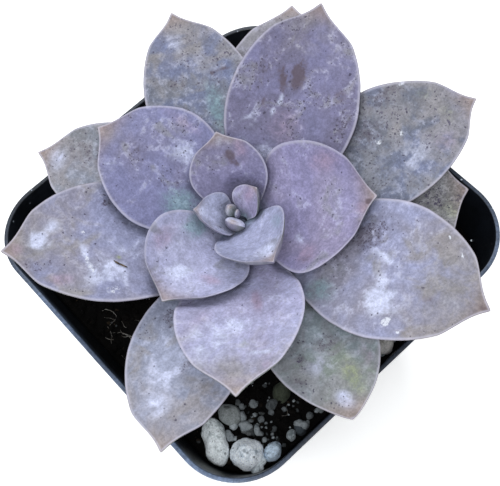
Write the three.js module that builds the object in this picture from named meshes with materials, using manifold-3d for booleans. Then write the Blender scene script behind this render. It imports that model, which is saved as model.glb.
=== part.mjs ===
// Potted succulent: a rosette of thick leaves on a short stem, growing in a square nursery pot.
// Millimetres, +Z up. The origin is the centre of the pot's base, on the face that it stands on.
import * as THREE from "three";
import { mergeVertices } from "three/addons/utils/BufferGeometryUtils.js";
import Module from "manifold-3d";

// Clearance between pieces that touch.
const GAP = 0.3;

// Pot: a thin square shell that tapers to its foot, with a slightly thicker collar round the rim.
const POT_SIDE = 100; // across the flats of the rim
const POT_HEIGHT = 88;
const POT_CORNER = 16.5; // outside radius of the rim's corners
const POT_WALL = 0.9;
const POT_FLOOR = 1.6;
const BASE_SIDE = 64; // across the flats of the foot
const BASE_EDGE = 1; // bevel round the foot
const COLLAR_HEIGHT = 2.2;
const COLLAR_STEP = 0.25; // how far the collar stands out from the wall
const RIM_EDGE = 0.3; // bevel on the rim's outer and inner edges
const DRAIN_BORE = 8;
const DRAIN_INSET = 14; // from the foot's flats to the middle of each drain hole
const DRAIN_SIDES = 24;
const CORNER_STEPS = 6;

// Soil
const SOIL_DROP = 14; // from the rim down to the soil
const SOIL_SWELL = 0.8; // height of the soft bumps on its surface
const SOIL_WAVE = 31; // length of those bumps along X
const SOIL_STRETCH = 0.8; // their frequency along Y, as a share of that along X
const SOIL_PHASE = { x: 0.6, y: -0.9 }; // where the bumps start, in radians
const SOIL_RINGS = 6;

// Stem: its top is the growing point. Leaf bases follow its cone, one internode apart.
const STEM_RISE = 6.6; // growing point above the rim
const INTERNODE = 0.6;
const CROWN_RADIUS = 0.9; // circle that the youngest leaf's base stands on
const CROWN_FLARE = 0.24; // growth of that circle with each older leaf
const BARK_GAP = 0.7; // from that circle in to the stem's skin
const LEAN = 3; // how far the growing point leans off the pot's axis
const LEAN_AZIMUTH = 110;
const LEAN_AGE = 2.2; // leaves over which the lean dies away
const ROOT_DEPTH = 14; // root crown below the soil's surface
const ROOT_RADIUS = 2.6; // at the bottom of the root crown
const STEM_SIDES = 16;
const STEM_RINGS = 7; // among the leaves
const BUD_LEAVES = 3; // youngest leaves, gathered on top of the stem

// Leaves: the spiral, and the proportions that all of them share.
const FIRST_AZIMUTH = 302.5;
const GOLDEN_ANGLE = 137.5;
const PITCH_OLD = 14; // pitch that the bases of old leaves settle to, in degrees
const PITCH_YOUNG = 70; // how much steeper the first leaf stands
const PITCH_AGE = 8.3; // leaves over which that extra pitch dies away
const ARCH = 20; // how far a grown blade bends over from base to tip, in degrees
const ARCH_AGE = 3; // leaves over which the arch comes in
const LEAF_SKIN = 1.1; // thickness of a leaf of no width
const LEAF_PLUMP = 0.095; // thickness gained with each millimetre of width
const LEAF_FILL = 0.5; // share of the full thickness at a leaf's base
const LEAF_FILLED = 0.45; // how far along the blade the full thickness is reached
const HEEL_REACH = 0.35; // share of the blade over which a heel dies away
const LEAF_STATIONS = 11;
const TIP_CROWDING = 1.6; // above 1, stations crowd towards the tip
const LEAF_SIDES = 12;
const MIDRIB_STEPS = 60;

// One row a leaf, youngest first; the leaf of age 21 has been shed. drift turns a leaf off the spiral,
// lift adds to its pitch, twist rolls it about its midrib and sweep curves it sideways, in degrees.
// cup lifts the edges, neck is the base's share of the width, widest is how far along the blade is
// broadest, point is where the narrow tip begins and nip is how far it is drawn in. A bud's leaf has a
// depth of its own, crown is the share of the depth that bulges on the upper side, and heel is how far
// that side bulges besides, near the base.
const LEAVES = [
  { age: 1, drift: 0, length: 4.2, width: 2, depth: 1.5, lift: 4, cup: 0, crown: 0.5, nip: 0.2 },
  { age: 2, drift: 14, length: 4.8, width: 3.2, depth: 2.8, lift: 4, cup: 0, crown: 0.5, nip: 0 },
  { age: 3, drift: -14, length: 6.2, width: 5.2, depth: 3.4, lift: 8, cup: 0.1, crown: 0.5, nip: 0.3 },
  { age: 4, drift: 26, length: 9.3, width: 9.4, lift: -4, twist: -14, sweep: -22, cup: 0.4, nip: 0.4 },
  { age: 5, drift: 10, length: 14, width: 11.5, twist: 2, sweep: -8, cup: 0.5, widest: 0.47 },
  {
    age: 6, drift: -19, length: 26, width: 19, lift: 3,
    twist: 10, sweep: 4, cup: 0.45, neck: 0.6, widest: 0.5, heel: 2.6,
  },
  { age: 7, drift: 16, length: 24, width: 20, lift: 9, twist: -18, sweep: 2, cup: 0.1, point: 0.62 },
  { age: 8, drift: -4, length: 30.5, width: 26, lift: -10, twist: -8, sweep: 20, cup: 0.45, point: 0.65 },
  { age: 9, drift: -1, length: 33.5, width: 32.5, lift: -5, twist: 14, sweep: -6, cup: 0.45, widest: 0.46 },
  { age: 10, drift: 5, length: 42.5, width: 33, lift: -1, twist: 1, sweep: 4 },
  { age: 11, drift: -10, length: 51.5, width: 30.5, lift: 1, twist: 3, point: 0.65 },
  { age: 12, drift: 5, length: 58.5, width: 33.5, twist: 12, sweep: 12, widest: 0.51, point: 0.66 },
  { age: 13, drift: 2, length: 58.5, width: 33, lift: 3, twist: 1, sweep: -8 },
  { age: 14, drift: 3, length: 62.5, width: 34.5, lift: -2, twist: 8, sweep: -6, neck: 0.12, widest: 0.57 },
  { age: 15, drift: -3, length: 59.5, width: 29.5, twist: 3, sweep: 2 },
  { age: 16, drift: 0, length: 60, width: 29, lift: 1, twist: 6, sweep: 13, widest: 0.57 },
  { age: 17, drift: 2, length: 63, width: 31, lift: 1, twist: 10, sweep: -3, widest: 0.57, point: 0.73 },
  { age: 18, drift: -9, length: 54.5, width: 30.5, sweep: 11 },
  { age: 19, drift: 4, length: 53, width: 28, twist: -4, sweep: -17, widest: 0.58, nip: 0.1 },
  { age: 20, drift: -4, length: 62, width: 34, twist: -4, sweep: 11 },
  { age: 22, drift: 16, length: 52, width: 42 },
];
const GROWN_LEAF = { lift: 0, twist: 0, sweep: 0, cup: 0.12, crown: 0.15, heel: 0 };
const GROWN_OUTLINE = { neck: 0.28, widest: 0.54, point: 0.69, nip: 0.58 };
const FULLNESS = 0.77; // how round the outer half of a blade is
const SHOULDER = 1.3; // how slowly a blade widens out of its neck

// Stones: pumice grains bedded in the soil. at is the middle of each, measured in from the two walls
// that meet at one corner of the pot; size is its three axes and turn its heading in degrees.
const STONES = [
  { name: "pumice_long", at: [5.1, 14.3], size: [12, 6.8, 7.2], turn: 62, bed: 2.4, waist: 0.2, detail: 2 },
  { name: "pumice_round", at: [8.8, 6.6], size: [7.8, 7.9, 7.2], turn: 20, bed: 2.2, detail: 2 },
  { name: "pumice_grey", at: [12.2, 17], size: [6, 5.2, 5], turn: 100, bed: 1.8 },
  { name: "pumice_small", at: [12.8, 11], size: [3.4, 3.2, 2.8], turn: 30, bed: 1.1 },
  { name: "pumice_wall", at: [13.9, 2.8], size: [5.2, 4.2, 4.4], turn: 15, bed: 1.6 },
  { name: "pumice_edge", at: [22.7, 2.4], size: [3.6, 3, 3.2], turn: 60, bed: 1.2 },
  { name: "dark_lump", at: [25.5, 12.2], size: [5.4, 4.4, 3.8], turn: 40, bed: 1.6, color: 0x33372f },
  { name: "pumice_side", at: [52.8, 2.9], size: [5.6, 4.2, 3.8], turn: 5, bed: 1.4 },
];
const STONE_LUMPS = 0.07; // height of the lumps on a stone, as a share of its radius
const LUMP_WAVES = { x: 4, y: 5, z: 6 }; // radians of lump for each radius along the three axes
const WAIST_SHARPNESS = 3; // above 1, a waist takes less of the stone's length

const COLLAR_FOOT = POT_HEIGHT - COLLAR_HEIGHT;
const SOIL_TOP = POT_HEIGHT - SOIL_DROP;
const STEM_TOP = POT_HEIGHT + STEM_RISE;
const UP = new THREE.Vector3(0, 0, 1);
const PUMICE = 0xb9c0c2; // colour of the stones that have none of their own

const wasm = await Module();
wasm.setup();

const radians = THREE.MathUtils.degToRad;
const lerp = THREE.MathUtils.lerp;
const smooth = THREE.MathUtils.smoothstep;

// A closed geometry on shared vertices, with nothing but their positions.
function weld(geometry) {
  const bare = geometry.clone();
  for (const name of Object.keys(bare.attributes)) {
    if (name !== "position") bare.deleteAttribute(name);
  }
  return mergeVertices(bare, 1e-4);
}

function solid(geometry) {
  const welded = weld(geometry);
  const vertProperties = new Float32Array(welded.attributes.position.array);
  const triVerts = new Uint32Array(welded.index.array);
  return new wasm.Manifold(new wasm.Mesh({ numProp: 3, vertProperties, triVerts }));
}

function geometryOf(made) {
  const mesh = made.getMesh();
  const geometry = new THREE.BufferGeometry();
  geometry.setAttribute("position", new THREE.BufferAttribute(new Float32Array(mesh.vertProperties), 3));
  geometry.setIndex(new THREE.BufferAttribute(new Uint32Array(mesh.triVerts), 1));
  return geometry;
}

// The same shape grown outwards by a distance, along its own normals.
function swollen(geometry, distance) {
  const shape = weld(geometry);
  shape.computeVertexNormals();
  const { position, normal } = shape.attributes;
  const point = new THREE.Vector3();
  const outwards = new THREE.Vector3();
  for (let i = 0; i < position.count; i += 1) {
    outwards.fromBufferAttribute(normal, i);
    point.fromBufferAttribute(position, i).addScaledVector(outwards, distance);
    position.setXYZ(i, point.x, point.y, point.z);
  }
  return shape;
}

// A geometry less whatever comes within the clearance of its neighbours.
function clearOf(geometry, neighbours) {
  let left = solid(geometry);
  for (const neighbour of neighbours) {
    const tool = solid(swollen(neighbour, GAP)).add(solid(neighbour));
    if (left.intersect(tool).volume() > 0) left = left.subtract(tool);
  }
  return geometryOf(left);
}

// A skin over closed rings of points, shut at both ends by a fan round the middle of the end ring.
// All rings have as many points, counter-clockwise as seen from the last ring.
function loft(rings) {
  const count = rings[0].length;
  const points = rings.flat();
  const first = points.length;
  const last = first + 1;
  for (const ring of [rings[0], rings.at(-1)]) {
    const middle = new THREE.Vector3();
    for (const point of ring) middle.add(point);
    points.push(middle.divideScalar(count));
  }
  const faces = [];
  const top = (rings.length - 1) * count;
  for (let j = 0; j < count; j += 1) {
    const next = (j + 1) % count;
    for (let low = 0; low < top; low += count) {
      const high = low + count;
      faces.push(low + j, low + next, high + next, low + j, high + next, high + j);
    }
    faces.push(first, next, j, last, top + j, top + next);
  }
  const geometry = new THREE.BufferGeometry().setFromPoints(points);
  geometry.setIndex(faces);
  return geometry;
}

// Points round a square with arcs for corners.
function squareRing(half, radius, z) {
  const points = [];
  for (let corner = 0; corner < 4; corner += 1) {
    const middle = new THREE.Vector3(half - radius, half - radius, z);
    middle.applyAxisAngle(UP, (corner * Math.PI) / 2);
    for (let step = 0; step <= CORNER_STEPS; step += 1) {
      const angle = ((corner + step / CORNER_STEPS) * Math.PI) / 2;
      const arc = new THREE.Vector3(Math.cos(angle), Math.sin(angle), 0);
      points.push(arc.multiplyScalar(radius).add(middle));
    }
  }
  return points;
}

// Half the pot's width and its corner radius at a height, on the outside of its wall.
function potWall(z) {
  const half = lerp(BASE_SIDE / 2, POT_SIDE / 2 - COLLAR_STEP, z / POT_HEIGHT);
  return { half, radius: (POT_CORNER * half) / (POT_SIDE / 2) };
}

// The pot's section at a height, a distance out from the outside of its wall.
function potRing(z, out = 0) {
  const { half, radius } = potWall(z);
  return squareRing(half + out, radius + out, z);
}

function potGeometry() {
  const shell = loft([
    squareRing(BASE_SIDE / 2 - BASE_EDGE, potWall(0).radius - BASE_EDGE, 0),
    potRing(BASE_EDGE),
    potRing(COLLAR_FOOT),
    potRing(COLLAR_FOOT, COLLAR_STEP),
    potRing(POT_HEIGHT - RIM_EDGE, COLLAR_STEP),
    potRing(POT_HEIGHT, COLLAR_STEP - RIM_EDGE),
    potRing(POT_HEIGHT, RIM_EDGE - POT_WALL),
    potRing(POT_HEIGHT - RIM_EDGE, -POT_WALL),
    potRing(POT_FLOOR, -POT_WALL),
  ]);
  const drillLength = (POT_FLOOR + GAP) * 2;
  const drain = new THREE.CylinderGeometry(DRAIN_BORE / 2, DRAIN_BORE / 2, drillLength, DRAIN_SIDES);
  drain.rotateX(Math.PI / 2);
  const offset = BASE_SIDE / 2 - DRAIN_INSET;
  let pot = solid(shell);
  for (const x of [-offset, offset]) {
    for (const y of [-offset, offset]) pot = pot.subtract(solid(drain.clone().translate(x, y, 0)));
  }
  return geometryOf(pot);
}

// Height of the soil's surface at a place.
function soilHeight(x, y) {
  const wave = (2 * Math.PI) / SOIL_WAVE;
  const bumps = Math.sin(x * wave + SOIL_PHASE.x) * Math.cos(y * wave * SOIL_STRETCH + SOIL_PHASE.y);
  return SOIL_TOP + SOIL_SWELL * bumps;
}

function soilGeometry(stem, stones) {
  const inset = POT_WALL + GAP;
  const rings = [potRing(POT_FLOOR + GAP, -inset)];
  const edge = potWall(SOIL_TOP - SOIL_SWELL);
  for (let i = SOIL_RINGS; i > 0; i -= 1) {
    const share = i / SOIL_RINGS;
    const ring = squareRing((edge.half - inset) * share, (edge.radius - inset) * share, 0);
    for (const point of ring) point.z = soilHeight(point.x, point.y);
    rings.push(ring);
  }
  return clearOf(loft(rings), [stem, ...stones]);
}

// Middle and radius of the circle that a leaf's base stands on.
function leafBase(age) {
  const lean = LEAN * Math.exp((1 - age) / LEAN_AGE);
  const middle = new THREE.Vector3(lean, 0, 0).applyAxisAngle(UP, radians(LEAN_AZIMUTH));
  middle.z = STEM_TOP - INTERNODE * age;
  return { middle, radius: CROWN_RADIUS + CROWN_FLARE * age };
}

function roundRing(middle, radius) {
  const points = [];
  for (let i = 0; i < STEM_SIDES; i += 1) {
    const angle = (2 * Math.PI * i) / STEM_SIDES;
    points.push(new THREE.Vector3(Math.cos(angle), Math.sin(angle), 0).multiplyScalar(radius).add(middle));
  }
  return points;
}

function stemGeometry() {
  const oldest = Math.max(...LEAVES.map((leaf) => leaf.age));
  const rings = [
    roundRing(new THREE.Vector3(0, 0, SOIL_TOP - ROOT_DEPTH), ROOT_RADIUS),
    roundRing(new THREE.Vector3(0, 0, SOIL_TOP), leafBase(oldest).radius),
  ];
  for (let i = 0; i <= STEM_RINGS; i += 1) {
    const { middle, radius } = leafBase(lerp(oldest, BUD_LEAVES, i / STEM_RINGS));
    rings.push(roundRing(middle, radius - BARK_GAP));
  }
  return weld(loft(rings));
}

// Half the blade's width at a share s of its length: a narrow neck, a broad middle, a small point.
function halfWidth(leaf, s) {
  const opening = Math.sin((Math.PI / 2) * Math.min(1, s / leaf.widest)) ** SHOULDER;
  const rise = leaf.neck + (1 - leaf.neck) * opening;
  const t = Math.max(0, (s - leaf.widest) / (1 - leaf.widest));
  const fall = Math.max(0, 1 - t * t) ** FULLNESS * (1 - leaf.nip * smooth(t, leaf.point, 1));
  return (leaf.width / 2) * (s < leaf.widest ? rise : fall);
}

function thickness(leaf, s) {
  const most = leaf.depth ?? LEAF_SKIN + LEAF_PLUMP * leaf.width;
  const fill = lerp(LEAF_FILL, 1, Math.sin((Math.PI / 2) * Math.min(1, s / LEAF_FILLED)));
  return most * fill * Math.sqrt(Math.max(0, 1 - s ** 4));
}

// Midrib of a leaf that points along +X: a path whose pitch eases off and whose heading swings evenly.
function midrib(leaf) {
  const start = PITCH_OLD + PITCH_YOUNG * Math.exp((1 - leaf.age) / PITCH_AGE) + leaf.lift;
  const arch = ARCH * (1 - Math.exp(-leaf.age / ARCH_AGE));
  const heading = (s) => radians(leaf.sweep * s);
  const pitch = (s) => radians(start - arch * s);
  const along = (s) =>
    new THREE.Vector3(
      Math.cos(pitch(s)) * Math.cos(heading(s)),
      Math.cos(pitch(s)) * Math.sin(heading(s)),
      Math.sin(pitch(s)),
    );
  const points = [new THREE.Vector3(leafBase(leaf.age).radius, 0, 0)];
  for (let i = 0; i < MIDRIB_STEPS; i += 1) {
    const step = along((i + 0.5) / MIDRIB_STEPS).multiplyScalar(leaf.length / MIDRIB_STEPS);
    points.push(points[i].clone().add(step));
  }
  return { points, heading, along };
}

// A leaf's skin: at each station a lens, flat on top and keeled below, its edges lifted by the cup.
function leafGeometry(row) {
  const leaf = { ...GROWN_LEAF, ...GROWN_OUTLINE, ...row };
  const { points, heading, along } = midrib(leaf);
  const rings = [];
  for (let i = 0; i < LEAF_STATIONS; i += 1) {
    const s = 1 - (1 - i / LEAF_STATIONS) ** TIP_CROWDING;
    const at = s * MIDRIB_STEPS;
    const below = Math.floor(at);
    const middle = points[below].clone().lerp(points[below + 1], at - below);
    const forwards = along(s);
    const side = new THREE.Vector3(-Math.sin(heading(s)), Math.cos(heading(s)), 0);
    side.applyAxisAngle(forwards, radians(leaf.twist));
    const out = new THREE.Vector3().crossVectors(forwards, side);
    const half = halfWidth(leaf, s);
    const deep = thickness(leaf, s);
    const ring = [];
    for (let j = 0; j < LEAF_SIDES; j += 1) {
      const angle = (2 * Math.PI * j) / LEAF_SIDES;
      const across = Math.cos(angle);
      const sine = Math.sin(angle);
      const bulge = deep * sine * (sine > 0 ? leaf.crown : 1 - leaf.crown);
      const heel = leaf.heel * Math.exp(-((s / HEEL_REACH) ** 2)) * Math.max(0, sine);
      const height = leaf.cup * half * across ** 2 + bulge + heel;
      ring.push(middle.clone().addScaledVector(side, half * across).addScaledVector(out, height));
    }
    rings.push(ring);
  }
  rings.push(rings[0].map(() => points.at(-1).clone()));
  const azimuth = FIRST_AZIMUTH + GOLDEN_ANGLE * (leaf.age - 1) + leaf.drift;
  return weld(loft(rings)).rotateZ(radians(azimuth)).translate(...leafBase(leaf.age).middle);
}

// A stone: a ball on three axes with soft lumps, and a waist where it is two grains grown together.
function stoneGeometry({ at, size, turn, bed, waist = 0, detail = 1 }) {
  const stone = weld(new THREE.IcosahedronGeometry(1, detail));
  const position = stone.attributes.position;
  const point = new THREE.Vector3();
  for (let i = 0; i < position.count; i += 1) {
    point.fromBufferAttribute(position, i);
    const level = Math.sin(LUMP_WAVES.x * point.x + turn) * Math.cos(LUMP_WAVES.y * point.y - turn);
    const lump = level + Math.sin(LUMP_WAVES.z * point.z + turn);
    const pinch = 1 - waist * Math.exp(-((point.x * WAIST_SHARPNESS) ** 2));
    point.multiplyScalar(1 + (STONE_LUMPS * lump) / 2);
    position.setXYZ(i, (point.x * size[0]) / 2, (point.y * pinch * size[1]) / 2, (point.z * size[2]) / 2);
  }
  const inner = potWall(SOIL_TOP).half - POT_WALL;
  const x = at[0] - inner;
  const y = at[1] - inner;
  return stone.rotateZ(radians(turn)).translate(x, y, soilHeight(x, y) + size[2] / 2 - bed);
}

function matte(color, roughness) {
  return new THREE.MeshStandardMaterial({ color, roughness, metalness: 0 });
}

const plant = new THREE.Group();

function addPiece(name, geometry, material) {
  const mesh = new THREE.Mesh(geometry, material);
  mesh.name = name;
  plant.add(mesh);
}

const stem = stemGeometry();
const stones = STONES.map(stoneGeometry);
addPiece("pot", potGeometry(), matte(0x16171a, 0.45));
addPiece("soil", soilGeometry(stem, stones), matte(0x1d1815, 0.95));
addPiece("stem", stem, matte(0x7d7a5c, 0.8));
stones.forEach((stone, i) => addPiece(STONES[i].name, stone, matte(STONES[i].color ?? PUMICE, 0.9)));

// Each leaf gives way to the stem and to the younger leaves that lie over it.
const younger = [];
for (const row of LEAVES) {
  const whole = leafGeometry(row);
  const leaf = clearOf(whole, [stem, ...younger]);
  younger.push(whole);
  addPiece(`leaf_${String(row.age).padStart(2, "0")}`, leaf, matte(0x9d9bb8, 0.6));
}

export default plant;
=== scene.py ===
"""Looks of a potted succulent: a rosette of powdery leaves on a short stem, in a square black nursery pot.

Shapes are worked out in millimetres, +Z up, round the middle of the pot's foot, and laid down in metres.
"""

import logging
import math
import sys
from dataclasses import dataclass, field
from enum import Enum

import bpy
import numpy as np
from mathutils import Matrix, Vector

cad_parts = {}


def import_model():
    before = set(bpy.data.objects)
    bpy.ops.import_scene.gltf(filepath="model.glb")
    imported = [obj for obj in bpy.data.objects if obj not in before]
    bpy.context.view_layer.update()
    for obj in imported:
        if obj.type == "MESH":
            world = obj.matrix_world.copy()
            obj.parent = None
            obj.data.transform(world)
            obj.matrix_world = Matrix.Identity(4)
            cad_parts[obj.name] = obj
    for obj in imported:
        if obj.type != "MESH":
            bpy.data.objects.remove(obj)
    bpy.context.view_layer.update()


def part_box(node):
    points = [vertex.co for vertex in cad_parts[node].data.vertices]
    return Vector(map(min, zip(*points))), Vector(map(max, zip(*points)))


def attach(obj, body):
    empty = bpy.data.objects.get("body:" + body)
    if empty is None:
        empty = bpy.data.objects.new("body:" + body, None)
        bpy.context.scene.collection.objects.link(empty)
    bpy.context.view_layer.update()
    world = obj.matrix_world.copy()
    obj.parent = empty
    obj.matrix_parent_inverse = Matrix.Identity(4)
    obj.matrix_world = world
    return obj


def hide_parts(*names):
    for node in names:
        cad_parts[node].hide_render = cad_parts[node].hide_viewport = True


MM = 0.001
BODY = "root"
LOG = logging.getLogger("succulent")
MIX_FIRST, MIX_SECOND, MIX_RESULT = 6, 7, 2  # a mix node's sockets for colours
THIN, THICK = 0.36, 0.64  # range in which a noise pattern mostly stays
GAP = 0.3  # clearance between pieces that touch
SOIL_DROP = 14.0  # from the rim down to the soil
STEM_RISE = 6.6  # growing point above the rim
Socket = bpy.types.NodeSocket
Colour = tuple[float, float, float]


class Slot(Enum):
    """The record's material slots."""

    POT = "pot"
    SOIL = "soil"
    STEM = "stem"
    PUMICE = "pumice"
    GRIT = "grit"
    LEAF = "leaf"


class Mark(Enum):
    """What a patch on a leaf is: each is a vertex attribute of that name."""

    SCAR = "scar"  # healed wound, reddish brown
    CRUST = "crust"  # dried mineral, whitish
    RUBBED = "rubbed"  # bloom wiped off, down to the green-grey skin
    STAIN = "stain"  # yellow-green
    BLUSH = "blush"  # pink
    TEAL = "teal"  # green-blue skin near the heart of the plant
    GRIME = "grime"  # dark, with dense specks
    POWDER_AND_HIGHLIGHT = "powder"  # thick pale bloom, and painted highlight where light falls across the blade


# ---------------------------------------------------------------- noise and meshes


def smoothstep(value: np.ndarray, low: float, high: float) -> np.ndarray:
    """Eases from 0 at low to 1 at high.

    Args:
        value: Numbers to ease.
        low: Where the result leaves 0.
        high: Where the result reaches 1.

    Returns:
        t * t * (3 - 2 t), with t the share of the way from low to high.
    """
    t = np.clip((value - low) / (high - low), 0.0, 1.0)
    return t * t * (3.0 - 2.0 * t)


def lattice(cell: np.ndarray, seed: int) -> np.ndarray:
    """Gives every whole-number point of space its own random number.

    Args:
        cell: Whole-number points, (..., 3).
        seed: Chooses among independent lattices.

    Returns:
        Numbers from 0 to 1: the coordinates times three large primes, joined by xor, then mixed by
        shifts and multiplications.
    """
    primes = np.array([73856093, 19349663, 83492791], dtype=np.uint64)
    parts = cell.astype(np.int64).astype(np.uint64) * primes
    mixed = parts[..., 0] ^ parts[..., 1] ^ parts[..., 2] ^ np.uint64(seed * 2654435761 + 97)
    for factor in (0xFF51AFD7ED558CCD, 0xC4CEB9FE1A85EC53):
        mixed = (mixed ^ (mixed >> np.uint64(33))) * np.uint64(factor)
    mixed = mixed ^ (mixed >> np.uint64(33))
    return (mixed >> np.uint64(11)).astype(float) / 2.0**53


def ripple(points: np.ndarray, size: float, seed: int) -> np.ndarray:
    """Smooth random swell.

    Args:
        points: Places in millimetres, (..., 3).
        size: Distance between humps.
        seed: Chooses among independent swells.

    Returns:
        Numbers from -1 to 1: the lattice's numbers at the eight corners round each point, blended by
        smoothstep weights along the three axes.
    """
    scaled = points / size
    corner = np.floor(scaled)
    share = scaled - corner
    share = share * share * (3.0 - 2.0 * share)
    total = np.zeros(points.shape[:-1])
    for step in np.ndindex(2, 2, 2):
        offset = np.array(step, dtype=float)
        weight = np.prod(np.where(offset > 0, share, 1.0 - share), axis=-1)
        total += weight * lattice(corner + offset, seed)
    return 2.0 * total - 1.0


def cloud(points: np.ndarray, size: float, seed: int, octaves: int = 4) -> np.ndarray:
    """Sum of ripples, each half the size and half the height of the one before.

    Args:
        points: Places in millimetres, (..., 3).
        size: Distance between the largest humps.
        seed: Chooses among independent clouds.
        octaves: Number of ripples.

    Returns:
        Numbers from about -1 to 1.
    """
    total = np.zeros(points.shape[:-1])
    for octave in range(octaves):
        total += ripple(points, size / 2**octave, seed + octave) / 2**octave
    return total / (2.0 - 2.0 ** (1 - octaves))


def cells(points: np.ndarray, size: float, seed: int) -> np.ndarray:
    """Distance to the nearest of many scattered seeds, one in each cube of space.

    Args:
        points: Places in millimetres, (..., 3).
        size: Side of the cubes.
        seed: Chooses among independent scatters.

    Returns:
        Distances as shares of the cube's side, the least over the 27 cubes round each point.
    """
    scaled = points / size
    home = np.floor(scaled)
    nearest = np.full(points.shape[:-1], 9.0)
    for step in np.ndindex(3, 3, 3):
        cube = home + np.array(step, dtype=float) - 1.0
        place = cube + np.stack([lattice(cube, seed + axis) for axis in range(3)], axis=-1)
        nearest = np.minimum(nearest, np.linalg.norm(scaled - place, axis=-1))
    return nearest


def skin_faces(rows: int, columns: int) -> list[np.ndarray]:
    """Faces of a tube of rings whose two ends are shut by fans.

    Args:
        rows: Number of rings, each counter-clockwise as seen from the last ring.
        columns: Points in a ring.

    Returns:
        Quads between the rings and triangles to two more points that follow the rings: the middle of
        the first ring, then the middle of the last.
    """
    column = np.arange(columns)
    following = (column + 1) % columns
    low = (np.arange(rows - 1) * columns)[:, None]
    high = low + columns
    quads = np.stack([low + column, low + following, high + following, high + column], axis=-1)
    first = rows * columns
    top = (rows - 1) * columns
    start = np.stack([np.full(columns, first), following, column], axis=-1)
    end = np.stack([np.full(columns, first + 1), top + column, top + following], axis=-1)
    return [quads.reshape(-1, 4), start, end]


def shut(rings: np.ndarray) -> np.ndarray:
    """Rings as one list of points, with the middle of the first and of the last ring at its end."""
    return np.concatenate([rings.reshape(-1, 3), rings[[0, -1]].mean(axis=1)])


def copies(parts: list[np.ndarray], count: int, step: int) -> list[np.ndarray]:
    """Faces of count shapes alike, whose points follow one another, step points to a shape."""
    start = (np.arange(count) * step)[:, None, None]
    return [(part[None] + start).reshape(-1, part.shape[1]) for part in parts]


def lay(
    name: str,
    points: np.ndarray,
    faces: list[np.ndarray],
    material: bpy.types.Material,
    values: dict[str, np.ndarray] | None = None,
) -> bpy.types.Object:
    """Puts a shape into the scene as a piece that rides on the frame.

    Args:
        name: The piece's name.
        points: Its vertices in millimetres, (n, 3).
        faces: Arrays of corner numbers, one array for each number of corners.
        material: What the piece is made of.
        values: Numbers for each vertex, by attribute name.

    Returns:
        The new object, at the origin, with its place in its mesh.
    """
    mesh = bpy.data.meshes.new(name)
    corners = np.concatenate([part.ravel() for part in faces]).astype(np.int32)
    counts = np.concatenate([np.full(len(part), part.shape[1]) for part in faces])
    starts = np.concatenate([[0], np.cumsum(counts)[:-1]]).astype(np.int32)
    mesh.vertices.add(len(points))
    mesh.vertices.foreach_set("co", (points * MM).astype(np.float32).ravel())
    mesh.loops.add(len(corners))
    mesh.loops.foreach_set("vertex_index", corners)
    mesh.polygons.add(len(starts))
    mesh.polygons.foreach_set("loop_start", starts)
    mesh.update(calc_edges=True)
    mesh.polygons.foreach_set("use_smooth", np.ones(len(starts), dtype=bool))
    for key, numbers in (values or {}).items():
        attribute = mesh.attributes.new(key, "FLOAT", "POINT")
        attribute.data.foreach_set("value", numbers.astype(np.float32))
    mesh.validate()
    mesh.materials.append(material)
    piece = bpy.data.objects.new(name, mesh)
    bpy.context.collection.objects.link(piece)
    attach(piece, BODY)
    LOG.info("%s: %d points, %d faces", name, len(points), len(starts))
    return piece


def unit_ball(rows: int, columns: int) -> tuple[np.ndarray, list[np.ndarray]]:
    """A ball of radius 1 as rings of latitude from the bottom to the top, with a point at each pole.

    Args:
        rows: Number of rings.
        columns: Points in a ring.

    Returns:
        Its points, (rows * columns + 2, 3), and its faces.
    """
    latitude = (np.arange(rows) + 1) / (rows + 1) * np.pi
    longitude = np.arange(columns) / columns * 2.0 * np.pi
    radius = np.sin(latitude)[:, None]
    x = radius * np.cos(longitude)
    y = radius * np.sin(longitude)
    z = np.broadcast_to(-np.cos(latitude)[:, None], x.shape)
    rings = np.stack([x, y, z], axis=-1).reshape(-1, 3)
    return np.concatenate([rings, [[0, 0, -1], [0, 0, 1]]]), skin_faces(rows, columns)


def tubes(path: np.ndarray, radius: np.ndarray, sides: int) -> tuple[np.ndarray, list[np.ndarray]]:
    """Thin tubes along paths that run more or less level.

    Args:
        path: Points of the paths, (paths, steps, 3).
        radius: Radius at each of them, (paths, steps).
        sides: Sides of each tube.

    Returns:
        Points and faces. Round each point of a path the ring is spanned by the level direction across
        the path and the direction square to both; each end is shut at the middle of its ring.
    """
    count, steps = path.shape[:2]
    along = np.gradient(path, axis=1)
    along /= np.linalg.norm(along, axis=-1, keepdims=True)
    side = np.cross(along, [0.0, 0.0, 1.0])
    side /= np.linalg.norm(side, axis=-1, keepdims=True) + 1e-9
    over = np.cross(side, along)
    angle = -np.arange(sides)[:, None] / sides * 2.0 * np.pi
    spoke = side[:, :, None] * np.cos(angle) + over[:, :, None] * np.sin(angle)
    rings = path[:, :, None] + radius[..., None, None] * spoke
    ends = rings[:, [0, -1]].mean(axis=2)
    points = np.concatenate([rings.reshape(count, -1, 3), ends], axis=1)
    return points.reshape(-1, 3), copies(skin_faces(steps, sides), count, points.shape[1])


def turned(points: np.ndarray, angle: float) -> np.ndarray:
    """The points turned about the vertical axis by an angle in radians."""
    cosine, sine = math.cos(angle), math.sin(angle)
    return points @ np.array([[cosine, sine, 0], [-sine, cosine, 0], [0, 0, 1]])


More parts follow.
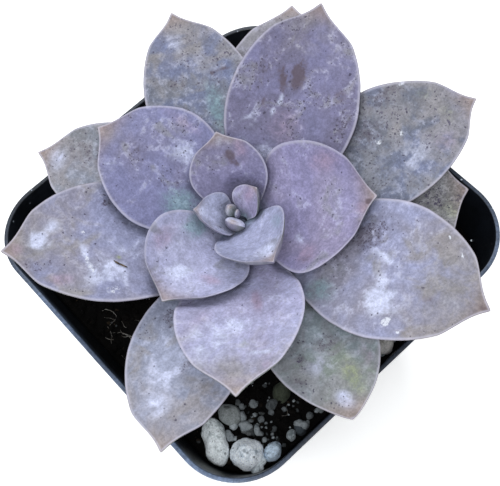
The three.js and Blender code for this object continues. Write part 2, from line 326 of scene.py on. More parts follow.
def squares(half: np.ndarray, radius: np.ndarray, arc_steps: int, side_steps: int) -> np.ndarray:
    """Rounded squares round the origin, one for each half side.

    Args:
        half: Half of each square's side.
        radius: Radius of each square's corners.
        arc_steps: Steps round a corner.
        side_steps: Steps along a straight side.

    Returns:
        Points (squares, points, 2), counter-clockwise. Each quarter is an arc round the middle of its
        corner and then a straight line to where the next quarter's arc starts.
    """
    angle = np.linspace(0.0, np.pi / 2, arc_steps + 1)
    spoke = np.stack([np.cos(angle), np.sin(angle)], axis=-1)
    arc = (half - radius)[:, None, None] + radius[:, None, None] * spoke
    share = (np.arange(1, side_steps) / side_steps)[:, None]
    following = np.stack([-arc[:, 0, 1], arc[:, 0, 0]], axis=-1)[:, None]
    quarter = np.concatenate([arc, arc[:, -1:] * (1 - share) + following * share], axis=1)
    quarters = [quarter]
    for _ in range(3):
        last = quarters[-1]
        quarters.append(np.stack([-last[..., 1], last[..., 0]], axis=-1))
    return np.concatenate(quarters, axis=1)


# ---------------------------------------------------------------- finishes


def shade(code: str) -> Colour:
    """Scene-linear colour from a screen colour's code, by the sRGB curve.

    Args:
        code: Six hexadecimal figures, two each for red, green and blue.

    Returns:
        Red, green and blue, each from 0 to 1.
    """
    parts = np.array([int(code[i : i + 2], 16) for i in (0, 2, 4)]) / 255.0
    linear = np.where(parts <= 0.04045, parts / 12.92, ((parts + 0.055) / 1.055) ** 2.4)
    return tuple(float(part) for part in linear)


class Recipe:
    """Wires up the nodes of one material. Lengths are in millimetres."""

    def __init__(self, name: str) -> None:
        """Starts an empty material with a shader and an output.

        Args:
            name: The material's name.
        """
        self.material = bpy.data.materials.new(name)
        self.material.use_nodes = True
        self.tree = self.material.node_tree
        self.shader = self.tree.nodes["Principled BSDF"]
        self.place = self.tree.nodes.new("ShaderNodeTexCoord").outputs["Object"]

    def join(self, target: Socket, source: "Socket | float | Colour") -> None:
        """Feeds an input from another node, or sets it.

        Args:
            target: The input.
            source: An output, a number or a colour.
        """
        if isinstance(source, bpy.types.NodeSocket):
            self.tree.links.new(source, target)
        elif isinstance(source, tuple) and target.type == "RGBA":
            target.default_value = (*source[:3], 1.0)
        else:
            target.default_value = source

    def noise(self, size: float, detail: float = 3.0, rough: float = 0.55, bend: float = 0.0) -> Socket:
        """Cloudy pattern whose largest humps are about size apart.

        Args:
            size: Distance between humps.
            detail: Number of finer layers.
            rough: Strength of each finer layer against the one before.
            bend: How far the pattern is dragged about by itself.

        Returns:
            Numbers round 0.5.
        """
        node = self.tree.nodes.new("ShaderNodeTexNoise")
        self.join(node.inputs["Vector"], self.place)
        node.inputs["Scale"].default_value = 1.0 / (size * MM)
        node.inputs["Detail"].default_value = detail
        node.inputs["Roughness"].default_value = rough
        node.inputs["Distortion"].default_value = bend
        return node.outputs["Fac"]

    def dots(self, size: float) -> tuple[Socket, Socket]:
        """Scattered seeds about size apart.

        Args:
            size: Distance between seeds.

        Returns:
            The distance to the nearest seed as a share of size, and a random number for each seed.
        """
        node = self.tree.nodes.new("ShaderNodeTexVoronoi")
        self.join(node.inputs["Vector"], self.place)
        node.inputs["Scale"].default_value = 1.0 / (size * MM)
        split = self.tree.nodes.new("ShaderNodeSeparateColor")
        self.join(split.inputs["Color"], node.outputs["Color"])
        return node.outputs["Distance"], split.outputs["Red"]

    def value(self, name: str) -> Socket:
        """Reads a vertex attribute.

        Args:
            name: The attribute's name.

        Returns:
            Its number.
        """
        node = self.tree.nodes.new("ShaderNodeAttribute")
        node.attribute_name = name
        return node.outputs["Fac"]

    def sums(self, kind: str, *numbers: "Socket | float") -> Socket:
        """Arithmetic on numbers.

        Args:
            kind: The operation's name.
            *numbers: The two or three numbers that it takes.

        Returns:
            The result.
        """
        node = self.tree.nodes.new("ShaderNodeMath")
        node.operation = kind
        for target, number in zip(node.inputs, numbers):
            self.join(target, number)
        return node.outputs[0]

    def ease(self, source: Socket, low: float, high: float, least: float = 0.0, most: float = 1.0) -> Socket:
        """Turns the range low to high of a number smoothly into least to most, and holds it there.

        Args:
            source: The number.
            low: Start of its range.
            high: End of its range.
            least: Result up to low.
            most: Result from high on.

        Returns:
            The eased number.
        """
        node = self.tree.nodes.new("ShaderNodeMapRange")
        node.interpolation_type = "SMOOTHSTEP"
        self.join(node.inputs["Value"], source)
        limits = {"From Min": low, "From Max": high, "To Min": least, "To Max": most}
        for key, number in limits.items():
            node.inputs[key].default_value = number
        return node.outputs["Result"]

    def spread(self, pattern: Socket, least: float, most: float) -> Socket:
        """Stretches a noise pattern's usual range smoothly over least to most."""
        return self.ease(pattern, THIN, THICK, least, most)

    def mix(self, share: "Socket | float", first: "Socket | Colour", second: "Socket | Colour") -> Socket:
        """Blends two colours.

        Args:
            share: Share of the second colour.
            first: The colour at share 0.
            second: The colour at share 1.

        Returns:
            The blend.
        """
        node = self.tree.nodes.new("ShaderNodeMix")
        node.data_type = "RGBA"
        self.join(node.inputs["Factor"], share)
        self.join(node.inputs[MIX_FIRST], first)
        self.join(node.inputs[MIX_SECOND], second)
        return node.outputs[MIX_RESULT]

    def tint(self, colour: Socket, code: str, mask: Socket, strength: float) -> Socket:
        """Lays a colour over another.

        Args:
            colour: The colour so far.
            code: Code of the colour on top.
            mask: Where it lies, from 0 to 1.
            strength: Share of the lower colour that it hides there.

        Returns:
            The blend.
        """
        return self.mix(self.sums("MULTIPLY", mask, strength), colour, shade(code))

    def dim(self, colour: "Socket | Colour", factor: Socket) -> Socket:
        """Multiplies a colour by a number.

        Args:
            colour: The colour.
            factor: What each of its channels is multiplied by.

        Returns:
            The product.
        """
        node = self.tree.nodes.new("ShaderNodeVectorMath")
        node.operation = "SCALE"
        if isinstance(colour, tuple):
            node.inputs[0].default_value = colour
        else:
            self.join(node.inputs[0], colour)
        self.join(node.inputs["Scale"], factor)
        return node.outputs[0]

    def broken(
        self, mask: Socket, grain: Socket, low: float = 0.1, high: float = 1.1, thin: float = 0.25
    ) -> Socket:
        """Breaks up a soft mask the way bloom lies on a skin.

        Args:
            mask: Soft mask from 0 to 1.
            grain: Cloudy pattern round 0.5 that thins it and heaps it up.
            low: Where the broken mask starts.
            high: Where it covers fully; close to low it gets a hard edge.
            thin: What the mask is multiplied by where the grain is thinnest.

        Returns:
            The broken mask.
        """
        thick = 1.8 - thin
        heaped = self.sums("MULTIPLY", mask, self.spread(grain, thin, thick))
        return self.ease(heaped, low, high)

    def relief(self, height: Socket, depth: float, onto: Socket | None = None) -> Socket:
        """Bumps from a height pattern.

        Args:
            height: Heights from 0 to 1.
            depth: Height of the bumps.
            onto: Normals that the bumps are added to.

        Returns:
            The bumped normals.
        """
        node = self.tree.nodes.new("ShaderNodeBump")
        node.inputs["Distance"].default_value = depth * MM
        self.join(node.inputs["Height"], height)
        if onto is not None:
            self.join(node.inputs["Normal"], onto)
        return node.outputs["Normal"]

    def finish(self, **inputs: "Socket | float | Colour") -> bpy.types.Material:
        """Sets the shader's inputs.

        Args:
            **inputs: The inputs' names, with underscores for spaces, and what they get.

        Returns:
            The finished material.
        """
        for key, source in inputs.items():
            self.join(self.shader.inputs[key.replace("_", " ")], source)
        return self.material


@dataclass(frozen=True)
class MarkLook:
    """How one kind of mark looks."""

    code: str
    strength: float  # share of the skin's colour that it hides
    thin: float  # what is left of it where the grain that breaks it up is thinnest
    coarse: bool = False  # whether that grain is the coarser one


# Marks without a hard edge, in the order in which they lie on one another.
SOFT_MARKS = {
    Mark.TEAL: MarkLook("7d9ba3", 0.7, 0.6),
    Mark.RUBBED: MarkLook("8b888c", 0.8, 0.6, coarse=True),
    Mark.BLUSH: MarkLook("a08aa2", 0.65, 0.7),
    Mark.STAIN: MarkLook("8c9472", 0.8, 0.5),
    # pale blue-white: thick bloom, and painted highlight across the blade
    Mark.POWDER_AND_HIGHLIGHT: MarkLook("c9cee9", 0.85, 0.3, coarse=True),
}
SPECKS = ((0.6, 0.3), (1.0, 0.25), (2.0, 0.17))  # distances between specks, and radii as shares of them


@dataclass(frozen=True)
class LeafFinish:
    """Waxy skin under a powdery bloom, with what weather has done to it. Colours are codes."""

    bloom: str = "9a99bd"  # the bloom where it lies evenly
    second: str = "8f8fae"  # its other shade, in broad clouds
    worn: str = "85868f"  # skin where the powder has gone
    wear: float = 0.35  # share of the blade that has lost its bloom
    tip: str = "978681"
    edge: str = "cdcadb"
    weathered: float = 0.3  # how grey-brown the outer half has turned
    specks: float = 0.3  # share of the places for dark specks that have one
    grain: float = 0.8  # contrast of the fine mottling
    aged: str = "8f898c"  # what the outer half turns to
    heaped: str = "c2c4da"  # bloom heaped up round the worn patches
    scar: str = "54444b"
    crust: str = "dfe2ec"
    flank: str = "857a7b"  # the outer side of an old leaf's edge
    speck: str = "3d374e"
    fleck: str = "4d4560"
    grime: str = "574f5c"
    under: tuple[str, str] = ("868c86", "928ea2")
    rough: tuple[float, float] = (0.6, 0.5)  # where the bloom lies, and where the skin is bare or crusted

    def make(self, name: str) -> bpy.types.Material:
        """Builds the material: bloom in two shades, worn patches, marks with painted highlights among them,
        specks, edge, painted shade from the leaves above, and underside.

        Args:
            name: The material's name.

        Returns:
            The material.
        """
        r = Recipe(name)
        broad = r.noise(14.0, 3.0, 0.5, 0.4)
        patchy = r.noise(7.0, 5.0, 0.58, 0.8)
        mottle = r.noise(2.0, 5.0, 0.65)
        fine = r.noise(0.6, 3.0, 0.7)
        colour = r.mix(r.ease(broad, 0.38, 0.62), shade(self.bloom), shade(self.second))
        colour, bare = self._wear(r, colour, patchy, mottle)
        outer = r.sums("MULTIPLY_ADD", patchy, 1.2, r.value("outer"))
        colour = r.mix(r.ease(outer, 1.15, 1.6, 0.0, self.weathered), colour, shade(self.aged))
        for mark, look in SOFT_MARKS.items():
            mask = r.broken(r.value(mark.value), patchy if look.coarse else mottle, thin=look.thin)
            colour = r.tint(colour, look.code, mask, look.strength)
        colour = r.tint(colour, self.tip, r.value("tip"), 0.85)
        colour = r.dim(colour, r.spread(patchy, 0.92, 1.07))
        darker, lighter = 1.0 - 0.17 * self.grain, 1.0 + 0.15 * self.grain
        for pattern in (mottle, fine):
            colour = r.dim(colour, r.spread(pattern, darker, lighter))
        scar = r.broken(r.value(Mark.SCAR.value), mottle, 0.15, 0.9, 0.5)
        colour = r.tint(colour, self.scar, scar, 0.8)
        colour = self._speckle(r, colour, patchy, fine)
        crust = r.broken(r.value(Mark.CRUST.value), r.noise(1.0, 5.0, 0.75), 0.25, 0.6)
        colour = r.tint(colour, self.crust, crust, 0.85)
        colour = r.tint(colour, self.edge, r.value("margin"), 0.55)
        colour = r.tint(colour, self.flank, r.value("flank"), 0.5)
        # painted shade: darker under and near the leaves that lie above
        colour = r.dim(colour, r.ease(r.value("contact"), 0.0, 1.0, 1.0, 0.5))
        under = r.mix(r.ease(broad, 0.4, 0.6), shade(self.under[0]), shade(self.under[1]))
        under = r.dim(under, r.spread(mottle, 0.8, 1.15))
        colour = r.mix(r.value("under"), colour, under)
        rough = r.ease(r.sums("ADD", bare, crust), 0.0, 1.0, *self.rough)
        bumps = r.relief(fine, 0.07, r.relief(mottle, 0.16))
        return r.finish(Base_Color=colour, Roughness=rough, Normal=bumps, Specular_IOR_Level=0.35)

    def _wear(self, r: Recipe, colour: Socket, patchy: Socket, mottle: Socket) -> tuple[Socket, Socket]:
        """Wipes the bloom off in patches, more towards the tip, and heaps it up in a crust round them.

        Args:
            r: The recipe in hand.
            colour: The bloom's colour.
            patchy: Pattern that decides where the bloom has gone.
            mottle: Finer pattern that breaks up the crust.

        Returns:
            The worn colour, and how bare the skin is.
        """
        threshold = 0.68 - 0.26 * self.wear
        spread = r.sums("ADD", patchy, r.sums("MULTIPLY", r.value("outer"), 0.08))
        bare = r.ease(spread, threshold, threshold + 0.16)
        colour = r.tint(colour, self.worn, bare, 0.65)
        near = r.ease(spread, threshold - 0.04, threshold)
        border = r.sums("MULTIPLY", near, r.sums("SUBTRACT", 1.0, bare))
        crusty = r.sums("MULTIPLY", border, r.ease(mottle, 0.5, 0.62, 0.0, 0.35))
        return r.mix(crusty, colour, shade(self.heaped)), bare

    def _speckle(self, r: Recipe, colour: Socket, clouds: Socket, fine: Socket) -> Socket:
        """Scatters dark specks of three sizes and uneven flecks, dense where grime and clouds of them lie.

        Args:
            r: The recipe in hand.
            colour: The colour so far.
            clouds: Pattern that gathers the specks.
            fine: Pattern that makes their outlines uneven.

        Returns:
            The speckled colour.
        """
        grime = r.broken(r.value(Mark.GRIME.value), r.noise(1.6, 4.0, 0.65), 0.0, 1.0)
        density = r.sums("ADD", r.ease(clouds, 0.5, 0.64, 0.04 * self.specks, self.specks), grime)
        uneven = r.sums("MULTIPLY_ADD", fine, 0.7, -0.35)
        for size, radius in SPECKS:
            distance, chance = r.dots(size)
            chosen = r.sums("LESS_THAN", chance, r.sums("MULTIPLY", density, 0.55))
            outline = r.sums("ADD", distance, uneven)
            dot = r.sums("MULTIPLY", r.ease(outline, radius * 0.7, radius * 1.2, 0.8, 0.0), chosen)
            colour = r.mix(dot, colour, shade(self.speck))
        flecks = r.ease(r.noise(1.3, 3.0, 0.7, 0.8), 0.585, 0.63, 0.0, 0.85)
        colour = r.mix(r.sums("MULTIPLY", flecks, r.ease(density, 0.15, 0.7)), colour, shade(self.fleck))
        return r.tint(colour, self.grime, grime, 0.55)


@dataclass(frozen=True)
class PotPlastic:
    """Black moulded plastic with a blue-grey coat along the collar, partly dust and partly painted sheen,
    and specks along the rim.
    """

    black: str = "08090c"
    grey: str = "12141a"
    # painted sheen with some dust: blue-grey, where the collar reflects the floor
    dusty_sheen: str = "8c9fc0"
    dust: str = "b4bccb"

    def make(self) -> bpy.types.Material:
        """Builds the material: black, with a satin sheen, fine scratches and specks of dust.

        Returns:
            The material.
        """
        r = Recipe("pot_plastic")
        cloudy = r.noise(9.0, 5.0, 0.65)
        fine = r.noise(0.6, 3.0, 0.65)
        distance, chance = r.dots(2.2)
        chosen = r.sums("LESS_THAN", chance, 0.35)
        speck = r.sums("MULTIPLY", r.ease(distance, 0.06, 0.14, 1.0, 0.0), chosen)
        # painted sheen with some dust, thinned in clouds
        dusty_sheen = r.sums("MULTIPLY", r.value("sheen_and_dust"), r.ease(cloudy, 0.35, 0.65, 0.6, 1.0))
        dusty_sheen = r.sums("MULTIPLY", dusty_sheen, r.ease(fine, 0.35, 0.65, 0.7, 1.2))
        colour = r.mix(r.ease(cloudy, 0.3, 0.7), shade(self.black), shade(self.grey))
        colour = r.mix(dusty_sheen, colour, shade(self.dusty_sheen))
        colour = r.mix(r.sums("MULTIPLY", speck, r.value("rim")), colour, shade(self.dust))
        rough = r.ease(fine, 0.25, 0.75, 0.28, 0.46)
        bumps = r.relief(fine, 0.02)
        return r.finish(Base_Color=colour, Roughness=rough, Normal=bumps, Specular_IOR_Level=0.4)


@dataclass(frozen=True)
class SoilFinish:
    """Damp black potting mix with brown crumbs."""

    dark: str = "030202"
    brown: str = "0e0b09"
    crumb: str = "2a221a"

    def make(self, name: str) -> bpy.types.Material:
        """Builds the material: near black with brown in clouds and by the crumb's own shade.

        Args:
            name: The material's name.

        Returns:
            The material.
        """
        r = Recipe(name)
        cloudy = r.noise(5.0, 5.0, 0.65)
        fine = r.noise(0.5, 3.0, 0.6)
        colour = r.mix(r.ease(cloudy, 0.45, 0.75), shade(self.dark), shade(self.brown))
        colour = r.mix(r.ease(r.value("shade"), 0.6, 1.0), colour, shade(self.crumb))
        colour = r.dim(colour, r.ease(fine, 0.3, 0.7, 0.4, 1.5))
        bumps = r.relief(fine, 0.25)
        return r.finish(Base_Color=colour, Roughness=0.95, Normal=bumps, Specular_IOR_Level=0.12)


@dataclass(frozen=True)
class PumiceFinish:
    """Porous pale grey-green stone with dark pits."""

    pale: str = "dfe8ee"
    grey: str = "a2adb3"
    pit: str = "2b3033"
    dirt: str = "17140f"
    toned: bool = False  # whether each grain has its own shade

    def make(self, name: str) -> bpy.types.Material:
        """Builds the material: pale with grey clouds, dark in its pores, dusty with soil at its foot.

        Args:
            name: The material's name.

        Returns:
            The material.
        """
        r = Recipe(name)
        cloudy = r.noise(2.6, 6.0, 0.7)
        fine = r.noise(0.45, 4.0, 0.75)
        distance, chance = r.dots(0.8)
        outline = r.sums("ADD", distance, r.sums("MULTIPLY", fine, 0.25))
        chosen = r.sums("LESS_THAN", chance, 0.5)
        pore = r.sums("MULTIPLY", r.ease(outline, 0.2, 0.4, 1.0, 0.0), chosen)
        colour = r.mix(r.ease(cloudy, 0.47, 0.66), shade(self.pale), shade(self.grey))
        colour = r.dim(colour, r.spread(fine, 0.8, 1.2))
        colour = r.tint(colour, self.pit, pore, 0.6)
        colour = r.mix(r.value("pit"), colour, shade(self.pit))
        if self.toned:
            colour = r.dim(colour, r.value("tone"))
        colour = r.tint(colour, self.dirt, r.ease(r.value("foot"), 0.35, 0.8), 0.9)
        bumps = r.relief(fine, 0.16, r.relief(cloudy, 0.35))
        return r.finish(Base_Color=colour, Roughness=0.92, Normal=bumps, Specular_IOR_Level=0.2)


@dataclass(frozen=True)
class PlainFinish:
    """A dull natural material in two shades."""

    first: str
    second: str
    size: float = 1.0

    def make(self, name: str) -> bpy.types.Material:
        """Builds the material: two shades in clouds, with grain.

        Args:
            name: The material's name.

        Returns:
            The material.
        """
        r = Recipe(name)
        cloudy = r.noise(self.size, 4.0, 0.6)
        fine = r.noise(self.size / 4.0, 2.0, 0.6)
        colour = r.mix(r.ease(cloudy, 0.35, 0.65), shade(self.first), shade(self.second))
        colour = r.dim(colour, r.ease(fine, 0.3, 0.7, 0.8, 1.2))
        return r.finish(Base_Color=colour, Roughness=0.8, Normal=r.relief(cloudy, 0.1))


@dataclass(frozen=True)
class StemFinish:
    """Olive bark, darkened at its top among the youngest leaves by painted shade."""

    bark: str = "6e6a4c"
    scale: str = "8d8468"
    # painted shade where the stem's top sits among the youngest leaves
    painted_top_shade: str = "3d4250"

    def make(self) -> bpy.types.Material:
        """Builds the material: two shades of bark in clouds, then painted shade at the top, by height.

        Returns:
            The material.
        """
        r = Recipe("stem_bark")
        cloudy = r.noise(2.4, 4.0, 0.6)
        fine = r.noise(0.6, 2.0, 0.6)
        colour = r.mix(r.ease(cloudy, 0.35, 0.65), shade(self.bark), shade(self.scale))
        colour = r.dim(colour, r.ease(fine, 0.3, 0.7, 0.8, 1.2))
        # painted shade at the top of the stem
        colour = r.mix(r.value("painted_top_shade"), colour, shade(self.painted_top_shade))
        return r.finish(Base_Color=colour, Roughness=0.8, Normal=r.relief(cloudy, 0.1))


# ---------------------------------------------------------------- pot


@dataclass
class Pot:
    """Thin square shell that tapers to its foot, with a collar round the rim."""

    height: float
    rim_half: float  # half the rim's outside width
    foot_half: float = 32.0
    corner: float = 16.5  # outside radius of the rim's corners
    wall: float = 0.9
    floor: float = 1.6
    foot_edge: float = 1.0
    collar_height: float = 2.2
    collar_step: float = 0.25
    collar_round: float = 0.2  # fillet under the collar
    floor_round: float = 2.0  # fillet inside, round the floor
    rim_edge: float = 0.3
    bow: float = 0.12  # how far the walls stray from flat
    bow_size: float = 26.0
    drain_bore: float = 8.0
    drain_inset: float = 14.0
    arc_steps: int = 20
    side_steps: int = 26

    def wall_half(self, z: np.ndarray | float) -> np.ndarray | float:
        """Half the wall's outside width at a height: straight from the foot to the rim less the collar."""
        share = z / self.height
        return self.foot_half + (self.rim_half - self.collar_step - self.foot_half) * share

    def profile(self) -> tuple[np.ndarray, np.ndarray]:
        """The wall's section, from the foot up outside and down inside.

        Returns:
            Heights, and distances out from the outside of the wall, with a small quarter round at each
            edge: edge points are the arc's middle plus the radius times cosine and sine of its angle.
        """
        quarter = np.linspace(0.0, np.pi / 2, 5)
        edge, foot = self.rim_edge, self.foot_edge
        under, inner = self.collar_round, self.floor_round
        collar, top = self.height - self.collar_height, self.height - edge
        stations = [
            (foot - foot * np.cos(quarter), foot * np.sin(quarter) - foot),
            (np.linspace(foot, collar, 30)[1:-1], np.zeros(28)),
            (collar + under * np.sin(quarter), self.collar_step * (1.0 - np.cos(quarter))),
            (np.linspace(collar + under, top, 6)[1:-1], np.full(4, self.collar_step)),
            (top + edge * np.sin(quarter), self.collar_step - edge + edge * np.cos(quarter)),
            (top + edge * np.cos(quarter), edge - self.wall - edge * np.sin(quarter)),
            (np.linspace(top, self.floor + inner, 24)[1:], np.full(23, -self.wall)),
            (self.floor + inner - inner * np.sin(quarter), -self.wall - inner * (1.0 - np.cos(quarter))),
        ]
        heights = np.concatenate([station[0] for station in stations])
        outs = np.concatenate([station[1] for station in stations])
        return heights, outs

    def build(self) -> bpy.types.Object:
        """Builds the shell: the section carried round rounded squares, then its drain holes.

        Returns:
            The pot.
        """
        heights, outs = self.profile()
        half = self.wall_half(heights) + outs
        radius = self.corner / self.rim_half * self.wall_half(heights) + outs
        plan = squares(half, radius, self.arc_steps, self.side_steps)
        z = np.broadcast_to(heights[:, None, None], (*plan.shape[:2], 1))
        rings = np.concatenate([plan, z], axis=-1)
        points = shut(rings)
        swell = cloud(points, self.bow_size, 40, 2)[:, None] * self.bow
        points[:, :2] += points[:, :2] / self.rim_half * swell
        values = {"rim": smoothstep(points[:, 2], self.height - 1.2, self.height - 0.2)}
        # painted sheen with some dust, on the collar and the inner wall's top
        values["sheen_and_dust"] = self.sheen_and_dust_mask(points, outs)
        faces = skin_faces(*rings.shape[:2])
        pot = lay("pot_shell", points, faces, PotPlastic().make(), values)
        self._drill(pot)
        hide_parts("pot")
        return pot

    def sheen_and_dust_mask(self, points: np.ndarray, outs: np.ndarray) -> np.ndarray:
        """How much painted sheen, with some dust, lies on the plastic.

        Args:
            points: Places in millimetres.
            outs: For each ring of points, its distance out from the outside of the wall.

        Returns:
            Numbers from 0 to 1, with long soft clouds: high on the side of -X, less at the corners of
            +X -Y and -X -Y, a little elsewhere on the collar, and faint on the wall below. Most of it is
            painted sheen where the floor's light is reflected; on the side of -X it also lies on the top of
            the inner wall as a painted highlight.
        """
        x, y = (points[:, :2] / self.rim_half).T
        level = points[:, 2]
        outside = np.repeat(outs > -self.wall + 0.1, (len(points) - 2) // len(outs))
        outside = np.append(outside, [False, False])
        # painted sheen where the floor is reflected: strongest on the side of -X, less at two corners
        left = smoothstep(-x, 0.8, 0.96) * smoothstep(-y, -1.0, -0.3)
        corners = smoothstep(np.hypot(x, y), 1.08, 1.2)
        right_corner = corners * smoothstep(x - y, 1.4, 1.9)
        near_corner = corners * smoothstep(-x - y, 1.4, 1.9)
        dust = 0.12 + 0.88 * left + 0.6 * right_corner + 0.35 * near_corner
        collar = smoothstep(level, self.height - 2.4, self.height - 0.6) * outside * dust
        # painted highlight on the top of the inner wall, on the side of -X
        inner = smoothstep(level, self.height - 2.6, self.height - 0.8) * (1.0 - outside) * left * 0.7
        patches = 0.6 + 0.4 * cloud(points, 18.0, 45, 3)
        return np.clip((collar + inner + 0.02) * patches, 0.0, 1.0)

    def _drill(self, pot: bpy.types.Object) -> None:
        """Cuts the four drain holes.

        Args:
            pot: The shell.
        """
        sides = 48
        offset = self.foot_half - self.drain_inset
        angle = np.arange(sides) / sides * 2.0 * np.pi
        ring = np.stack([np.cos(angle), np.sin(angle), np.zeros(sides)], axis=-1) * self.drain_bore / 2
        rings = np.stack([ring - [0, 0, self.floor], ring + [0, 0, self.floor * 2]])
        places = [(x, y, 0.0) for x in (-offset, offset) for y in (-offset, offset)]
        points = np.concatenate([shut(rings) + place for place in places])
        faces = copies(skin_faces(2, sides), len(places), len(points) // len(places))
        cutter = lay("drain_cutter", points, faces, pot.data.materials[0])
        modifier = pot.modifiers.new("drain", "BOOLEAN")
        modifier.operation = "DIFFERENCE"
        modifier.solver = "EXACT"
        modifier.object = cutter
        graph = bpy.context.evaluated_depsgraph_get()
        drilled = bpy.data.meshes.new_from_object(pot.evaluated_get(graph))
        pot.modifiers.clear()
        pot.data = drilled
        bpy.data.objects.remove(cutter)
        drilled.set_sharp_from_angle(angle=math.radians(40))


# ---------------------------------------------------------------- soil and stones


@dataclass
class Stone:
    """One pumice grain: a ball on three axes with lumps, pits and, on some, a waist."""

    node: str
    size: tuple[float, float, float]
    turn: float
    waist: float = 0.0
    pale: str = "dfe8ee"
    grey: str = "a2adb3"
    pitted: float = 0.5
    lumps: float = 0.07
    pit_depth: float = 0.09
    rows: int = 90
    columns: int = 120

    def build(self) -> bpy.types.Object:
        """Builds the stone where the frame has it.

        Returns:
            The stone. A point p of the unit ball moves out by 1 plus lumps, grain and pits, then
            takes the three axes' sizes; the waist draws in the middle of the long axis.
        """
        low, high = (np.array(corner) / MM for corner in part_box(self.node))
        ball, faces = unit_ball(self.rows, self.columns)
        x, y, z = ball.T
        lump = np.sin(4 * x + self.turn) * np.cos(5 * y - self.turn) + np.sin(6 * z + self.turn)
        seed = int(self.turn)
        spread = ball * np.array(self.size) / 2.0
        grain = 0.05 * cloud(spread, 1.6, seed, 4) + 0.07 * cloud(spread, 4.0, seed + 9, 2)
        grain += 0.09 * (0.55 - cells(spread, 2.1, seed + 40))
        pit = smoothstep(cells(spread, 1.25, seed + 20), 0.34, 0.1)
        pit = pit * smoothstep(ripple(spread, 2.5, seed + 30), 0.5 - self.pitted, 0.9 - self.pitted)
        scale = 1.0 + self.lumps * lump / 2.0 + grain - self.pit_depth * pit
        pinch = 1.0 - self.waist * np.exp(-((3.0 * x) ** 2))
        points = ball * scale[:, None] * np.array(self.size) / 2.0
        points[:, 1] *= pinch
        points = turned(points, math.radians(self.turn))
        points += (low + high) / 2.0 - (points.min(axis=0) + points.max(axis=0)) / 2.0
        level = points[:, 2] + 0.6 * cloud(points, 1.5, seed)
        foot = smoothstep(level, low[2] + self.size[2] * 0.5, low[2])
        material = PumiceFinish(self.pale, self.grey).make(f"{self.node}_stone")
        values = {"pit": pit * 0.9, "foot": foot}
        stone = lay(f"{self.node}_grain", points, faces, material, values)
        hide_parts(self.node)
        return stone


STONES = (
    Stone("pumice_long", (12, 6.8, 7.2), 62, waist=0.2, pale="eef4f7", grey="b4bdc0", pitted=0.55),
    Stone("pumice_round", (7.8, 7.9, 7.2), 20, pale="f2f8ff", grey="b8c4cf", pitted=0.75),
    Stone("pumice_grey", (6, 5.2, 5), 100, pale="8e9394", grey="5f6362", pitted=0.3),
    Stone("pumice_small", (3.4, 3.2, 2.8), 30, pale="56585a", grey="3d3f3f", pitted=0.3),
    Stone("pumice_wall", (5.2, 4.2, 4.4), 15, pale="cfe0f2", grey="8b9cab", pitted=0.3),
    Stone("pumice_edge", (3.6, 3, 3.2), 60, pale="3f454b", grey="2b3036", pitted=0.2),
    Stone("dark_lump", (5.4, 4.4, 3.8), 40, pale="3f4439", grey="2b2f27", pitted=0.1),
    Stone("pumice_side", (5.6, 4.2, 3.8), 5, pale="e6e2df", grey="b4b0ab", pitted=0.2),
)


@dataclass(frozen=True)
class Pebble:
    """A small grain that lies where it was dropped."""

    at: tuple[float, float]
    size: tuple[float, float, float]
    tone: float  # brightness, 1 for clean pumice
    turn: float = 0.0
    sink: float = 0.25  # share of its height below the soil's surface


PEBBLES = (
    Pebble((-34.9, -31.8), (2.9, 2.4, 2.2), 0.5, 20),
    Pebble((-31.7, -31.5), (2.3, 2.1, 1.8), 0.34, 70),
    Pebble((-32.9, -34.2), (3.4, 3.0, 2.4), 0.36, 110),
    Pebble((-31.6, -37.0), (2.9, 1.7, 1.9), 0.34, 60),
    Pebble((-37.4, -33.0), (3.0, 2.2, 2.0), 0.36, 80),
    Pebble((-37.2, -43.2), (4.2, 3.6, 2.8), 1.0, 15),
    Pebble((-26.2, -43.6), (3.0, 2.6, 2.4), 0.45, 40),
    Pebble((-22.6, -43.4), (3.6, 3.0, 2.6), 0.3, 120),
    Pebble((-19.4, -43.0), (2.4, 2.0, 1.8), 0.14, 10),
    Pebble((-16.2, -43.6), (2.2, 1.8, 1.6), 0.2, 50),
    Pebble((-29.0, -35.6), (2.0, 1.6, 1.4), 0.16, 35),
    Pebble((-27.6, -31.4), (2.6, 2.2, 1.8), 0.24, 90),
    Pebble((-24.4, -34.6), (3.0, 2.4, 1.8), 0.1, 10),
    Pebble((-41.8, -24.4), (2.6, 2.0, 1.6), 0.3, 25),
    Pebble((-43.6, -21.0), (1.8, 1.5, 1.2), 0.3, 60),
    Pebble((5.2, -44.0), (2.2, 1.8, 1.6), 0.6, 30),
    Pebble((9.6, -43.4), (1.8, 1.5, 1.3), 0.4, 80),
    Pebble((44.0, -38.4), (0.8, 0.6, 0.6), 1.3),
    Pebble((42.9, -41.0), (0.8, 0.7, 0.6), 1.2),
)


@dataclass(frozen=True)
class Scatter:
    """A sprinkling of small lumps on the soil, gathered round a place."""

    name: str
    count: int
    sizes: tuple[float, float]
    middle: tuple[float, float] = (0.0, 0.0)
    spread: float = 60.0
    sink: float = 0.3
    seed: int = 1


SCATTERS = (
    Scatter("soil_crumbs", 3200, (0.5, 1.9), sink=0.25, seed=3),
    Scatter("soil_lumps", 420, (1.6, 3.6), sink=0.35, seed=5),
    Scatter("grit_corner", 90, (0.8, 2.6), (-30.0, -34.0), 13.0, seed=7),
    Scatter("grit_wall", 60, (0.7, 2.2), (-14.0, -40.0), 9.0, seed=11),
    Scatter("grit_side", 46, (0.6, 2.2), (8.0, -42.0), 7.0, seed=13),
    Scatter("grit_all", 110, (0.4, 1.3), seed=17),
)


# Middles of the places where roots and fibres lie thick.
ROOT_CLUMPS = ((-41.0, 2.0), (-38.0, -4.0), (12.0, -38.0), (0.0, -40.0), (20.0, -41.0), (40.0, -10.0))


